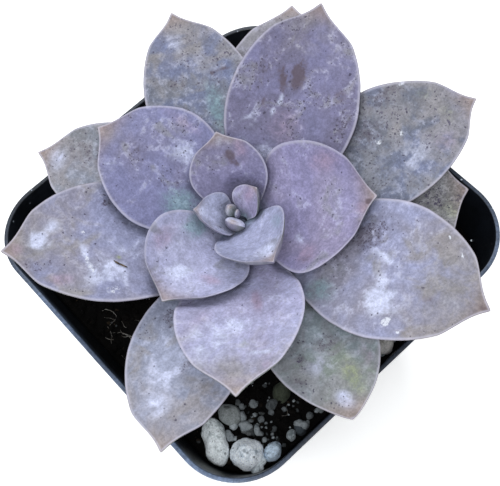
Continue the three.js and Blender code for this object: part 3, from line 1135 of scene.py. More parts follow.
@dataclass
class Soil:
    """Potting mix, from its surface down to the pot's floor, with crumbs, grit and fine roots on it."""

    top: float
    half: float
    corner: float
    floor: float
    floor_half: float
    swell: float = 0.8  # height of the soft bumps
    wave: float = 31.0  # length of those bumps along X
    stretch: float = 0.8  # their frequency along Y, as a share of that along X
    phase: tuple[float, float] = (0.6, -0.9)  # where they start, in radians
    lump: float = 0.9
    crumb: float = 0.55
    narrowing: float = 0.66  # of the corners, from the surface to the floor
    hub: float = 0.004  # share at which the surface's rings stop short of its middle
    rings: int = 110
    arc_steps: int = 40
    side_steps: int = 72

    def height(self, x: np.ndarray, y: np.ndarray) -> np.ndarray:
        """Height of the surface.

        Args:
            x: Places along X.
            y: Places along Y.

        Returns:
            The frame's soft bumps, sine of x times cosine of y, with lumps and crumbs from noise.
        """
        turn = 2.0 * np.pi / self.wave
        along, across = x * turn + self.phase[0], y * turn * self.stretch + self.phase[1]
        bumps = self.swell * np.sin(along) * np.cos(across)
        place = np.stack([x, y, np.zeros_like(x)], axis=-1)
        lumps = self.lump * cloud(place, 7.0, 60, 4)
        thick = 0.4 + 0.6 * ripple(place, 4.0, 75)
        crumbs = self.crumb * smoothstep(cells(place, 1.7, 70), 0.75, 0.15) * thick
        return self.top + bumps + lumps + crumbs

    def build(self) -> list[bpy.types.Object]:
        """Builds the bed and what lies on it.

        Returns:
            The pieces.
        """
        finish = SoilFinish().make("soil_mix")
        share = np.linspace(1.0, self.hub, self.rings)
        plan = squares(self.half * share, self.corner * share, self.arc_steps, self.side_steps)
        top = np.concatenate([plan, self.height(plan[..., 0], plan[..., 1])[..., None]], axis=-1)
        floor = np.array([self.floor_half]), np.array([self.corner * self.narrowing])
        low = squares(*floor, self.arc_steps, self.side_steps)
        bottom = np.concatenate([low, np.full((*low.shape[:2], 1), self.floor)], axis=-1)
        rings = np.concatenate([bottom, top])
        shades = cloud(shut(rings), 3.0, 81, 3) * 0.5 + 0.3
        faces = skin_faces(*rings.shape[:2])
        bed = lay("soil_bed", shut(rings), faces, finish, {"shade": shades})
        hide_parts("soil")
        pieces = [bed]
        grit = PumiceFinish(toned=True).make("grit_stone")
        for scatter in SCATTERS:
            of_soil = scatter.name.startswith("soil")
            pieces.append(self.sprinkle(scatter, finish if of_soil else grit))
        pieces.append(self.pebbles(grit))
        pieces.append(self.roots())
        return pieces

    def pebbles(self, material: bpy.types.Material) -> bpy.types.Object:
        """Builds the small grains that lie in known places as one piece.

        Args:
            material: What they are made of.

        Returns:
            The grains: balls with lumps and knobs from noise, on three axes, turned and bedded.
        """
        ball, parts = unit_ball(22, 32)
        shapes, tones, feet = [], [], []
        for number, pebble in enumerate(PEBBLES):
            spread = ball * np.array(pebble.size) / 2.0
            knobs = 0.4 * cloud(spread, 2.0, 300 + number, 3)
            knobs += 0.35 * (0.5 - cells(spread, 1.6, 400 + number))
            shape = turned(spread * (1.0 + knobs)[:, None], math.radians(pebble.turn))
            x, y = (np.array(place) for place in pebble.at)
            lift = float(self.height(x, y)) + pebble.size[2] * (0.5 - pebble.sink)
            shapes.append(shape + [*pebble.at, lift])
            tones.append(np.full(len(ball), pebble.tone))
            feet.append(smoothstep(-ball[:, 2], 0.0, 0.9))
        faces = copies(parts, len(PEBBLES), len(ball))
        values = {"tone": np.concatenate(tones), "foot": np.concatenate(feet)}
        return lay("pebbles", np.concatenate(shapes), faces, material, values)

    def inside(self, x: np.ndarray, y: np.ndarray, margin: float) -> np.ndarray:
        """Whether places lie inside the soil's rounded square, by a margin."""
        reach = np.maximum(np.abs(np.stack([x, y])) - (self.half - self.corner), 0.0)
        return np.hypot(reach[0], reach[1]) < self.corner - margin

    def places(self, scatter: Scatter, rng: np.random.Generator) -> np.ndarray:
        """Random places inside the pot.

        Args:
            scatter: What is sprinkled.
            rng: Source of chance.

        Returns:
            Places, (count, 2): spread evenly, or gathered round the scatter's middle.
        """
        tries = scatter.count * 8
        if scatter.spread < self.half:
            plan = rng.normal(scatter.middle, scatter.spread * 0.5, (tries, 2))
        else:
            plan = rng.uniform(-self.half, self.half, (tries, 2))
        return plan[self.inside(plan[:, 0], plan[:, 1], 1.2)][: scatter.count]

    def sprinkle(self, scatter: Scatter, material: bpy.types.Material) -> bpy.types.Object:
        """Builds many small lumps as one piece.

        Args:
            scatter: What is sprinkled, where and how thickly.
            material: What the lumps are made of.

        Returns:
            The lumps: copies of a coarse ball, each with its own jitter, axes, turn and place.
        """
        rng = np.random.default_rng(scatter.seed)
        plan = self.places(scatter, rng)
        count = len(plan)
        ball, parts = unit_ball(3, 6)
        size = scatter.sizes[0] + (scatter.sizes[1] - scatter.sizes[0]) * rng.random(count) ** 2.5
        axes = rng.uniform(0.6, 1.0, (count, 1, 3)) * size[:, None, None] / 2.0
        jitter = rng.uniform(0.72, 1.18, (count, len(ball), 1))
        shape = ball[None] * jitter * axes
        spin = rng.normal(size=(count, 3, 3))
        spin, _ = np.linalg.qr(spin)
        spin *= np.sign(np.linalg.det(spin))[:, None, None]
        shape = shape @ spin
        lift = self.height(plan[:, 0], plan[:, 1]) + size * (0.5 - scatter.sink)
        shape += np.concatenate([plan, lift[:, None]], axis=1)[:, None]
        faces = copies(parts, count, len(ball))
        tint = np.repeat(rng.random(count) ** 2, len(ball))
        tone = np.repeat(0.06 + 0.4 * rng.random(count) ** 3, len(ball))
        values = {"shade": tint, "tone": tone, "foot": np.repeat(rng.random(count) * 0.7, len(ball))}
        return lay(scatter.name, shape.reshape(-1, 3), faces, material, values)

    def roots(self) -> bpy.types.Object:
        """Builds the fine roots and fibres on the surface as one piece.

        Returns:
            Thin tubes of four sides along wandering paths: the heading is a random start plus the
            running sum of small random turns, and the height is the soil's plus a low hump.
        """
        rng = np.random.default_rng(23)
        steps, to_a_clump, loose = 18, 16, 110
        near = np.repeat(np.array(ROOT_CLUMPS), to_a_clump, axis=0)
        near = near + rng.normal(0.0, 3.4, near.shape)
        start = np.concatenate([near, rng.uniform(-self.half, self.half, (loose, 2))])
        start = start[self.inside(start[:, 0], start[:, 1], 3.0)]
        count = len(start)
        length = rng.uniform(3.0, 10.0, count)
        heading = rng.uniform(0.0, 2.0 * np.pi, (count, 1))
        heading = heading + np.cumsum(rng.normal(0, 0.42, (count, steps)), axis=1)
        stride = (length / steps)[:, None]
        x = start[:, :1] + np.cumsum(np.cos(heading) * stride, axis=1)
        y = start[:, 1:] + np.cumsum(np.sin(heading) * stride, axis=1)
        x, y = (np.clip(axis, -self.half + 2.0, self.half - 2.0) for axis in (x, y))
        hump = np.sin(np.linspace(0.0, np.pi, steps)) * rng.uniform(0.1, 1.1, (count, 1))
        ground = self.height(x, y)
        z = (ground + ground.mean(axis=1, keepdims=True)) / 2.0 + hump
        path = np.stack([x, y, z + 0.1], axis=-1)
        radius = rng.uniform(0.05, 0.11, (count, 1)) * np.linspace(1.0, 0.35, steps)
        points, faces = tubes(path, radius, 4)
        material = PlainFinish("5e5851", "8f8c87", 2.0).make("root_fibre")
        return lay("fine_roots", points, faces, material)


# ---------------------------------------------------------------- leaves


@dataclass(frozen=True)
class Patch:
    """One mark on a leaf's upper side. Places are shares of the blade; sizes are in millimetres."""

    mark: Mark
    along: float  # share of the length, 0 at the base
    across: float  # share of the half width, from -1 to 1
    long: float
    wide: float
    turn: float = 0.0  # degrees from the midrib
    strength: float = 1.0


@dataclass(frozen=True)
class Twig:
    """A scrap of dead stalk that lies on a leaf. Its ends are shares of the length and half width."""

    start: tuple[float, float]
    end: tuple[float, float]
    radius: float = 0.24
    steps: int = 16
    sides: int = 8

    def build(self, leaf: "Leaf", skin: np.ndarray) -> bpy.types.Object:
        """Builds the twig on the leaf's upper side.

        Args:
            leaf: The leaf that it lies on.
            skin: The leaf's points.

        Returns:
            The twig: a straight line over the blade that rises a radius above its skin, a little
            kinked by noise, thinner to its ends.
        """
        share = np.linspace(0.0, 1.0, self.steps)[:, None]
        place = np.array(self.start) * (1.0 - share) + np.array(self.end) * share
        path = leaf.on_skin(skin, place[:, 0], place[:, 1]) + [0.0, 0.0, self.radius * 1.1]
        path[:, :2] += 0.3 * cloud(path, 1.6, 55, 2)[:, None]
        radius = self.radius * (0.55 + 0.45 * np.sin(np.pi * share[:, 0]) + 0.25 * cloud(path, 0.8, 57, 2))
        points, faces = tubes(path[None], radius[None], self.sides)
        material = PlainFinish("2a211c", "6b5b4a", 0.8).make("twig_bark")
        return lay("leaf_twig", points, faces, material)


@dataclass(frozen=True)
class Crown:
    """The growing point and the spiral that every leaf stands on."""

    top: float
    internode: float = 0.6
    radius: float = 0.9
    flare: float = 0.24
    lean: float = 3.0
    lean_azimuth: float = 110.0
    lean_age: float = 2.2
    first_azimuth: float = 302.5
    golden_angle: float = 137.5
    pitch_old: float = 14.0
    pitch_young: float = 70.0
    pitch_age: float = 8.3
    arch: float = 20.0
    arch_age: float = 3.0

    def middle(self, age: float) -> np.ndarray:
        """Middle of the circle that a leaf's base stands on: one internode lower for each leaf, and off
        the axis by a lean that dies away with age.

        Args:
            age: The leaf's place in the spiral.

        Returns:
            The point, (3,).
        """
        lean = self.lean * math.exp((1.0 - age) / self.lean_age)
        azimuth = math.radians(self.lean_azimuth)
        level = self.top - self.internode * age
        return np.array([lean * math.cos(azimuth), lean * math.sin(azimuth), level])

    def circle(self, age: float) -> float:
        """Radius of that circle."""
        return self.radius + self.flare * age


@dataclass
class Canopy:
    """Plan map of the lowest underside among the leaves laid so far, in square cells."""

    reach: float = 90.0
    pitch: float = 0.5
    low: np.ndarray = field(init=False)

    def __post_init__(self) -> None:
        """Starts with open sky."""
        side = int(2 * self.reach / self.pitch)
        self.low = np.full((side, side), np.inf)

    def index(self, points: np.ndarray) -> tuple[np.ndarray, np.ndarray]:
        """Finds the cells that points stand over, taking the nearest at the map's edge.

        Args:
            points: Any grid of points, (..., 3).

        Returns:
            Cell numbers along X and along Y.
        """
        cell = ((points[..., :2] + self.reach) / self.pitch).astype(int)
        cell = np.clip(cell, 0, len(self.low) - 1)
        return cell[..., 0], cell[..., 1]

    def cover(self, skin: np.ndarray) -> None:
        """Adds a leaf's underside, with two points more between each two of its grid.

        Args:
            skin: Points of the underside, (rows, columns, 3).
        """
        for axis in (0, 1):
            first = np.take(skin, range(skin.shape[axis] - 1), axis=axis)
            second = np.take(skin, range(1, skin.shape[axis]), axis=axis)
            near, far = first * 2 / 3 + second / 3, first / 3 + second * 2 / 3
            skin = np.concatenate([first, near, far], axis=axis)
        np.minimum.at(self.low, self.index(skin), skin[..., 2])

    def widened(self, margin: float) -> np.ndarray:
        """Spreads each leaf's outline by a margin: each cell takes the least over a disc of cells.

        Args:
            margin: The disc's radius.

        Returns:
            The new map, of the same size.
        """
        steps = int(round(margin / self.pitch))
        spread = self.low.copy()
        for i in range(-steps, steps + 1):
            for j in range(-steps, steps + 1):
                if i * i + j * j <= steps * steps + 1:
                    spread = np.minimum(spread, np.roll(self.low, (i, j), axis=(0, 1)))
        return spread


# Margins round the leaves above in which a blade is darkened as painted shade, and how much each adds.
PAINTED_SHADE_RINGS = ((0.5, 0.4), (1.0, 0.2), (1.5, 0.15), (2.0, 0.15), (2.5, 0.1))


@dataclass
class Leaf:
    """One blade, by the spiral's rule and its own proportions, in millimetres and degrees."""

    age: int  # its place in the spiral, 1 for the youngest
    drift: float  # how far it has turned from the spiral's rule
    length: float
    width: float
    depth: float | None = None  # thickness, where it isn't the rule's
    lift: float = 0.0  # extra pitch
    twist: float = 0.0  # roll about its length
    sweep: float = 0.0  # how far it swings sideways from base to tip
    cup: float = 0.12  # rise of its edges, as a share of the half width
    crown: float = 0.15  # share of the thickness that lies above the midrib's level
    neck: float = 0.28  # width at the base, as a share of the greatest
    widest: float = 0.54  # share of the length where it is broadest
    point: float = 0.69  # share of the way from there to the tip where the point begins
    nip: float = 0.58  # how much the point is drawn in
    heel: float = 0.0  # how far the upper side bulges near the base
    finish: LeafFinish = LeafFinish()
    patches: tuple[Patch, ...] = ()
    twig: Twig | None = None
    fullness: float = 0.77  # power of the curve of its outer half
    shoulder: float = 1.3  # power of the curve of its inner half
    skin: float = 1.1  # thickness of a leaf of no width
    plump: float = 0.095  # thickness gained with each millimetre of width
    fill: float = 0.5  # share of the thickness at the base
    filled: float = 0.45  # share of the length where the full thickness is reached
    heel_reach: float = 0.35
    rest_gap: float = 0.45  # room left under a leaf above
    deepest: float = 9.0  # how far the blade gives way at most
    wobble: float = 0.02  # of its outline, as a share of the half width
    rows: int = 120
    columns: int = 96

    def half_width(self, s: np.ndarray) -> np.ndarray:
        """Half the blade's width: a sine from the neck up to the broadest place, then one less the
        square of the way to the tip, to a power, drawn in near the tip.

        Args:
            s: Shares of the length.

        Returns:
            The half width at each.
        """
        quarter = np.pi / 2 * np.minimum(1.0, s / self.widest)
        rise = self.neck + (1 - self.neck) * np.sin(quarter) ** self.shoulder
        t = np.maximum(0.0, (s - self.widest) / (1.0 - self.widest))
        fall = np.maximum(0.0, 1.0 - t * t) ** self.fullness
        fall = fall * (1.0 - self.nip * smoothstep(t, self.point, 1.0))
        return self.width / 2 * np.where(s < self.widest, rise, fall)

    def thickness(self, s: np.ndarray) -> np.ndarray:
        """Depth of the blade: fuller towards its middle, and falling to nothing at the tip.

        Args:
            s: Shares of the length.

        Returns:
            The depth at each.
        """
        most = self.depth or self.skin + self.plump * self.width
        quarter = np.pi / 2 * np.minimum(1.0, s / self.filled)
        fill = self.fill + (1.0 - self.fill) * np.sin(quarter)
        return most * fill * np.sqrt(np.maximum(0.0, 1.0 - s**4))

    def midrib(self, crown: Crown, s: np.ndarray) -> tuple[np.ndarray, np.ndarray, np.ndarray]:
        """The path of the blade, pointing along X.

        Args:
            crown: The spiral's rule.
            s: Shares of the length.

        Returns:
            Points of the midrib, its directions and the direction across it. The pitch falls evenly
            from the base, the heading swings evenly, and the points are the running sum of the steps.
        """
        start = crown.pitch_old + crown.pitch_young * math.exp((1 - self.age) / crown.pitch_age) + self.lift
        arch = crown.arch * (1 - math.exp(-self.age / crown.arch_age))

        def direction(share: np.ndarray) -> np.ndarray:
            """Unit vectors along the midrib.

            Args:
                share: Shares of the length.

            Returns:
                One vector for each, (..., 3).
            """
            pitch, heading = np.radians(start - arch * share), np.radians(self.sweep * share)
            flat = np.cos(pitch)
            return np.stack([flat * np.cos(heading), flat * np.sin(heading), np.sin(pitch)], axis=-1)

        steps = 240
        stride = direction((np.arange(steps) + 0.5) / steps) * self.length / steps
        path = np.concatenate([[[0.0, 0.0, 0.0]], np.cumsum(stride, axis=0)])
        path = path + [crown.circle(self.age), 0, 0]
        knots = np.linspace(0.0, 1.0, steps + 1)
        points = np.stack([np.interp(s, knots, path[:, axis]) for axis in range(3)], axis=-1)
        heading = np.radians(self.sweep * s)
        side = np.stack([-np.sin(heading), np.cos(heading), np.zeros_like(s)], axis=-1)
        return points, direction(s), side

    def surface(self, crown: Crown) -> dict[str, np.ndarray]:
        """The blade's skin on a grid of stations and angles round its section.

        Args:
            crown: The spiral's rule.

        Returns:
            "points" (rows, columns, 3), and "s", "u" and "half" for each of them: share of the length,
            share of the half width, and the half width. At an angle round the section the point stands
            cos(angle) half widths across, and rises by the cup times cos squared plus the thickness
            times sin(angle), of which the crown's share is above the midrib.
        """
        s = self.stations()
        angle = np.arange(self.columns) / self.columns * 2.0 * np.pi
        middle, forwards, side = self.midrib(crown, s)
        roll = math.radians(self.twist)
        normal = np.cross(forwards, side)
        across = side * math.cos(roll) + normal * math.sin(roll)
        out = normal * math.cos(roll) - side * math.sin(roll)
        half = self.half_width(s)[:, None] * np.ones(self.columns)
        u = np.cos(angle)[None, :] * np.ones((self.rows, 1))
        sine = np.sin(angle)[None, :]
        grid_s = s[:, None] * np.ones_like(u)
        far_apart = np.full_like(u, self.age * 50.0)
        plan = np.stack([grid_s * self.length, u * half, far_apart], axis=-1)
        edge = np.stack([grid_s * self.length, np.sign(u) * 40.0, far_apart], axis=-1)
        grown = smoothstep(np.array(self.width), 5.0, 20.0)
        half = half * (1.0 + self.wobble * grown * cloud(edge, 9.0, 7, 3) * np.abs(u))
        bulge = self.thickness(s)[:, None] * sine * np.where(sine > 0, self.crown, 1.0 - self.crown)
        swell = grown * (0.5 * cloud(plan, 16.0, 17, 3) + 0.12 * cloud(plan, 4.0, 27, 2))
        bulge += self.heel * np.exp(-((s / self.heel_reach) ** 2))[:, None] * np.maximum(sine, 0.0)
        fade = smoothstep(s, 0.02, 0.2)[:, None] * smoothstep(1.0 - s, 0.0, 0.12)[:, None]
        height = self.cup * half * u**2 + bulge + swell * fade
        points = middle[:, None] + across[:, None] * (half * u)[..., None]
        points = points + out[:, None] * height[..., None]
        azimuth = crown.first_azimuth + crown.golden_angle * (self.age - 1) + self.drift
        points = turned(points, math.radians(azimuth)) + crown.middle(self.age)
        return {"points": points, "s": grid_s, "u": u, "half": half}

    def settle(self, grid: dict[str, np.ndarray], canopy: Canopy) -> np.ndarray:
        """Presses the blade down where a younger leaf lies on it, and adds it to the canopy.

        Args:
            grid: The blade's surface, which is changed in place.
            canopy: The leaves laid so far.

        Returns:
            How close a younger leaf is above each point of the upper side, from 0 to 1: painted shade
            that darkens the blade there. The drop of each place is what its upper side needs to pass
            under the canopy, softened over the grid, and both sides drop by it.
        """
        points = grid["points"]
        top = self.columns // 2 + 1
        upper = points[:, :top]
        ceiling = canopy.widened(1.0)[canopy.index(upper)]
        drop = np.clip(upper[..., 2] - ceiling + self.rest_gap, 0.0, self.deepest)
        drop = drop * smoothstep(np.array(self.age), 5.0, 9.0)
        for _ in range(10):
            padded = np.pad(drop, 1, mode="edge")
            around = padded[:-2, 1:-1] + padded[2:, 1:-1] + padded[1:-1, :-2] + padded[1:-1, 2:]
            drop = np.maximum(drop * 0.85, (around + drop) / 5.0)
        both = np.concatenate([drop, drop[:, -2:0:-1]], axis=1)
        points[..., 2] -= both
        # painted shade, stronger the closer a leaf lies above the upper side
        contact = np.zeros_like(drop)
        for margin, weight in PAINTED_SHADE_RINGS:
            above = canopy.widened(margin)[canopy.index(upper)]
            gap = np.where(np.isfinite(above), np.maximum(above - upper[..., 2] + drop, 0.0), 99.0)
            contact += weight * np.exp(-gap / 2.0)
        canopy.cover(points[:, top - 1 :])
        canopy.cover(points[:, [0, -1, -2]])
        return np.concatenate([contact, contact[:, -2:0:-1]], axis=1)

    def mark_values(self, grid: dict[str, np.ndarray]) -> dict[str, np.ndarray]:
        """Strength of each kind of mark at each point.

        Args:
            grid: The blade's surface.

        Returns:
            For each mark, the strongest of its patches: exp of minus the squared distances along and
            across the patch, as shares of its sizes.
        """
        values = {mark.value: np.zeros_like(grid["s"]) for mark in Mark}
        for patch in self.patches:
            reach = float(self.half_width(np.array([patch.along]))[0])
            x = (grid["s"] - patch.along) * self.length
            y = grid["u"] * grid["half"] - patch.across * reach
            turn = math.radians(patch.turn)
            cosine, sine = math.cos(turn), math.sin(turn)
            along, across = x * cosine + y * sine, y * cosine - x * sine
            shape = np.exp(-((along / patch.long) ** 2) - (across / patch.wide) ** 2) * patch.strength
            values[patch.mark.value] = np.maximum(values[patch.mark.value], shape)
        return values

    def build(self, crown: Crown, canopy: Canopy) -> bpy.types.Object:
        """Builds and dresses the leaf.

        Args:
            crown: The spiral's rule.
            canopy: The leaves laid so far.

        Returns:
            The leaf.
        """
        grid = self.surface(crown)
        contact = self.settle(grid, canopy)
        s, u, half = grid["s"], grid["u"], grid["half"]
        values = self.mark_values(grid)
        under = np.zeros_like(s)
        under[:, self.columns // 2 + 1 :] = 1.0
        inset = np.minimum(half * (1.0 - np.abs(u)), (1.0 - s) * self.length)
        line = 0.09 + 0.007 * self.width
        values["margin"] = np.exp(-(((inset - line) / line) ** 2))
        old = smoothstep(np.array(self.age), 9.0, 14.0)
        values["flank"] = np.exp(-((inset / (0.5 * line)) ** 2)) * old
        values["tip"] = smoothstep(s, 1.0 - min(7.0 / self.length, 0.2), 1.0)
        values.update(outer=s, under=under, contact=contact)
        heart = np.exp(-((s * self.length / (0.14 * self.length + 1.0)) ** 2))
        values["teal"] = np.maximum(values["teal"], heart * 0.9)
        flat = {
            key: np.concatenate([number.ravel(), number[[0, -1]].mean(axis=1)])
            for key, number in values.items()
        }
        name = f"{self.age:02d}"
        material = self.finish.make(f"leaf_skin_{name}")
        faces = skin_faces(self.rows, self.columns)
        blade = lay(f"blade_{name}", shut(grid["points"]), faces, material, flat)
        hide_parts(f"leaf_{name}")
        if self.twig:
            self.twig.build(self, grid["points"])
        return blade

    def stations(self) -> np.ndarray:
        """Shares of the length where the rings stand, closer together towards the tip."""
        return 1.0 - (1.0 - np.arange(self.rows) / self.rows) ** 1.6

    def on_skin(self, skin: np.ndarray, s: np.ndarray, u: np.ndarray) -> np.ndarray:
        """Places on the upper side.

        Args:
            skin: The blade's points, (rows, columns, 3).
            s: Shares of the length.
            u: Shares of the half width.

        Returns:
            Points, blended from the four grid points round each place.
        """
        row = np.interp(s, self.stations(), np.arange(self.rows))
        column = np.arccos(u) / (2.0 * np.pi) * self.columns
        i, j = np.floor(row).astype(int), np.floor(column).astype(int)
        a, b = (row - i)[:, None], (column - j)[:, None]
        low = skin[i, j] * (1 - b) + skin[i, j + 1] * b
        high = skin[i + 1, j] * (1 - b) + skin[i + 1, j + 1] * b
        return low * (1 - a) + high * a


def painted(**rows: list[tuple[float, ...]]) -> tuple[Patch, ...]:
    """Patches by kind, from rows of along, across, long, wide and, if given, turn and strength."""
    return tuple(Patch(Mark(kind), *row) for kind, places in rows.items() for row in places)


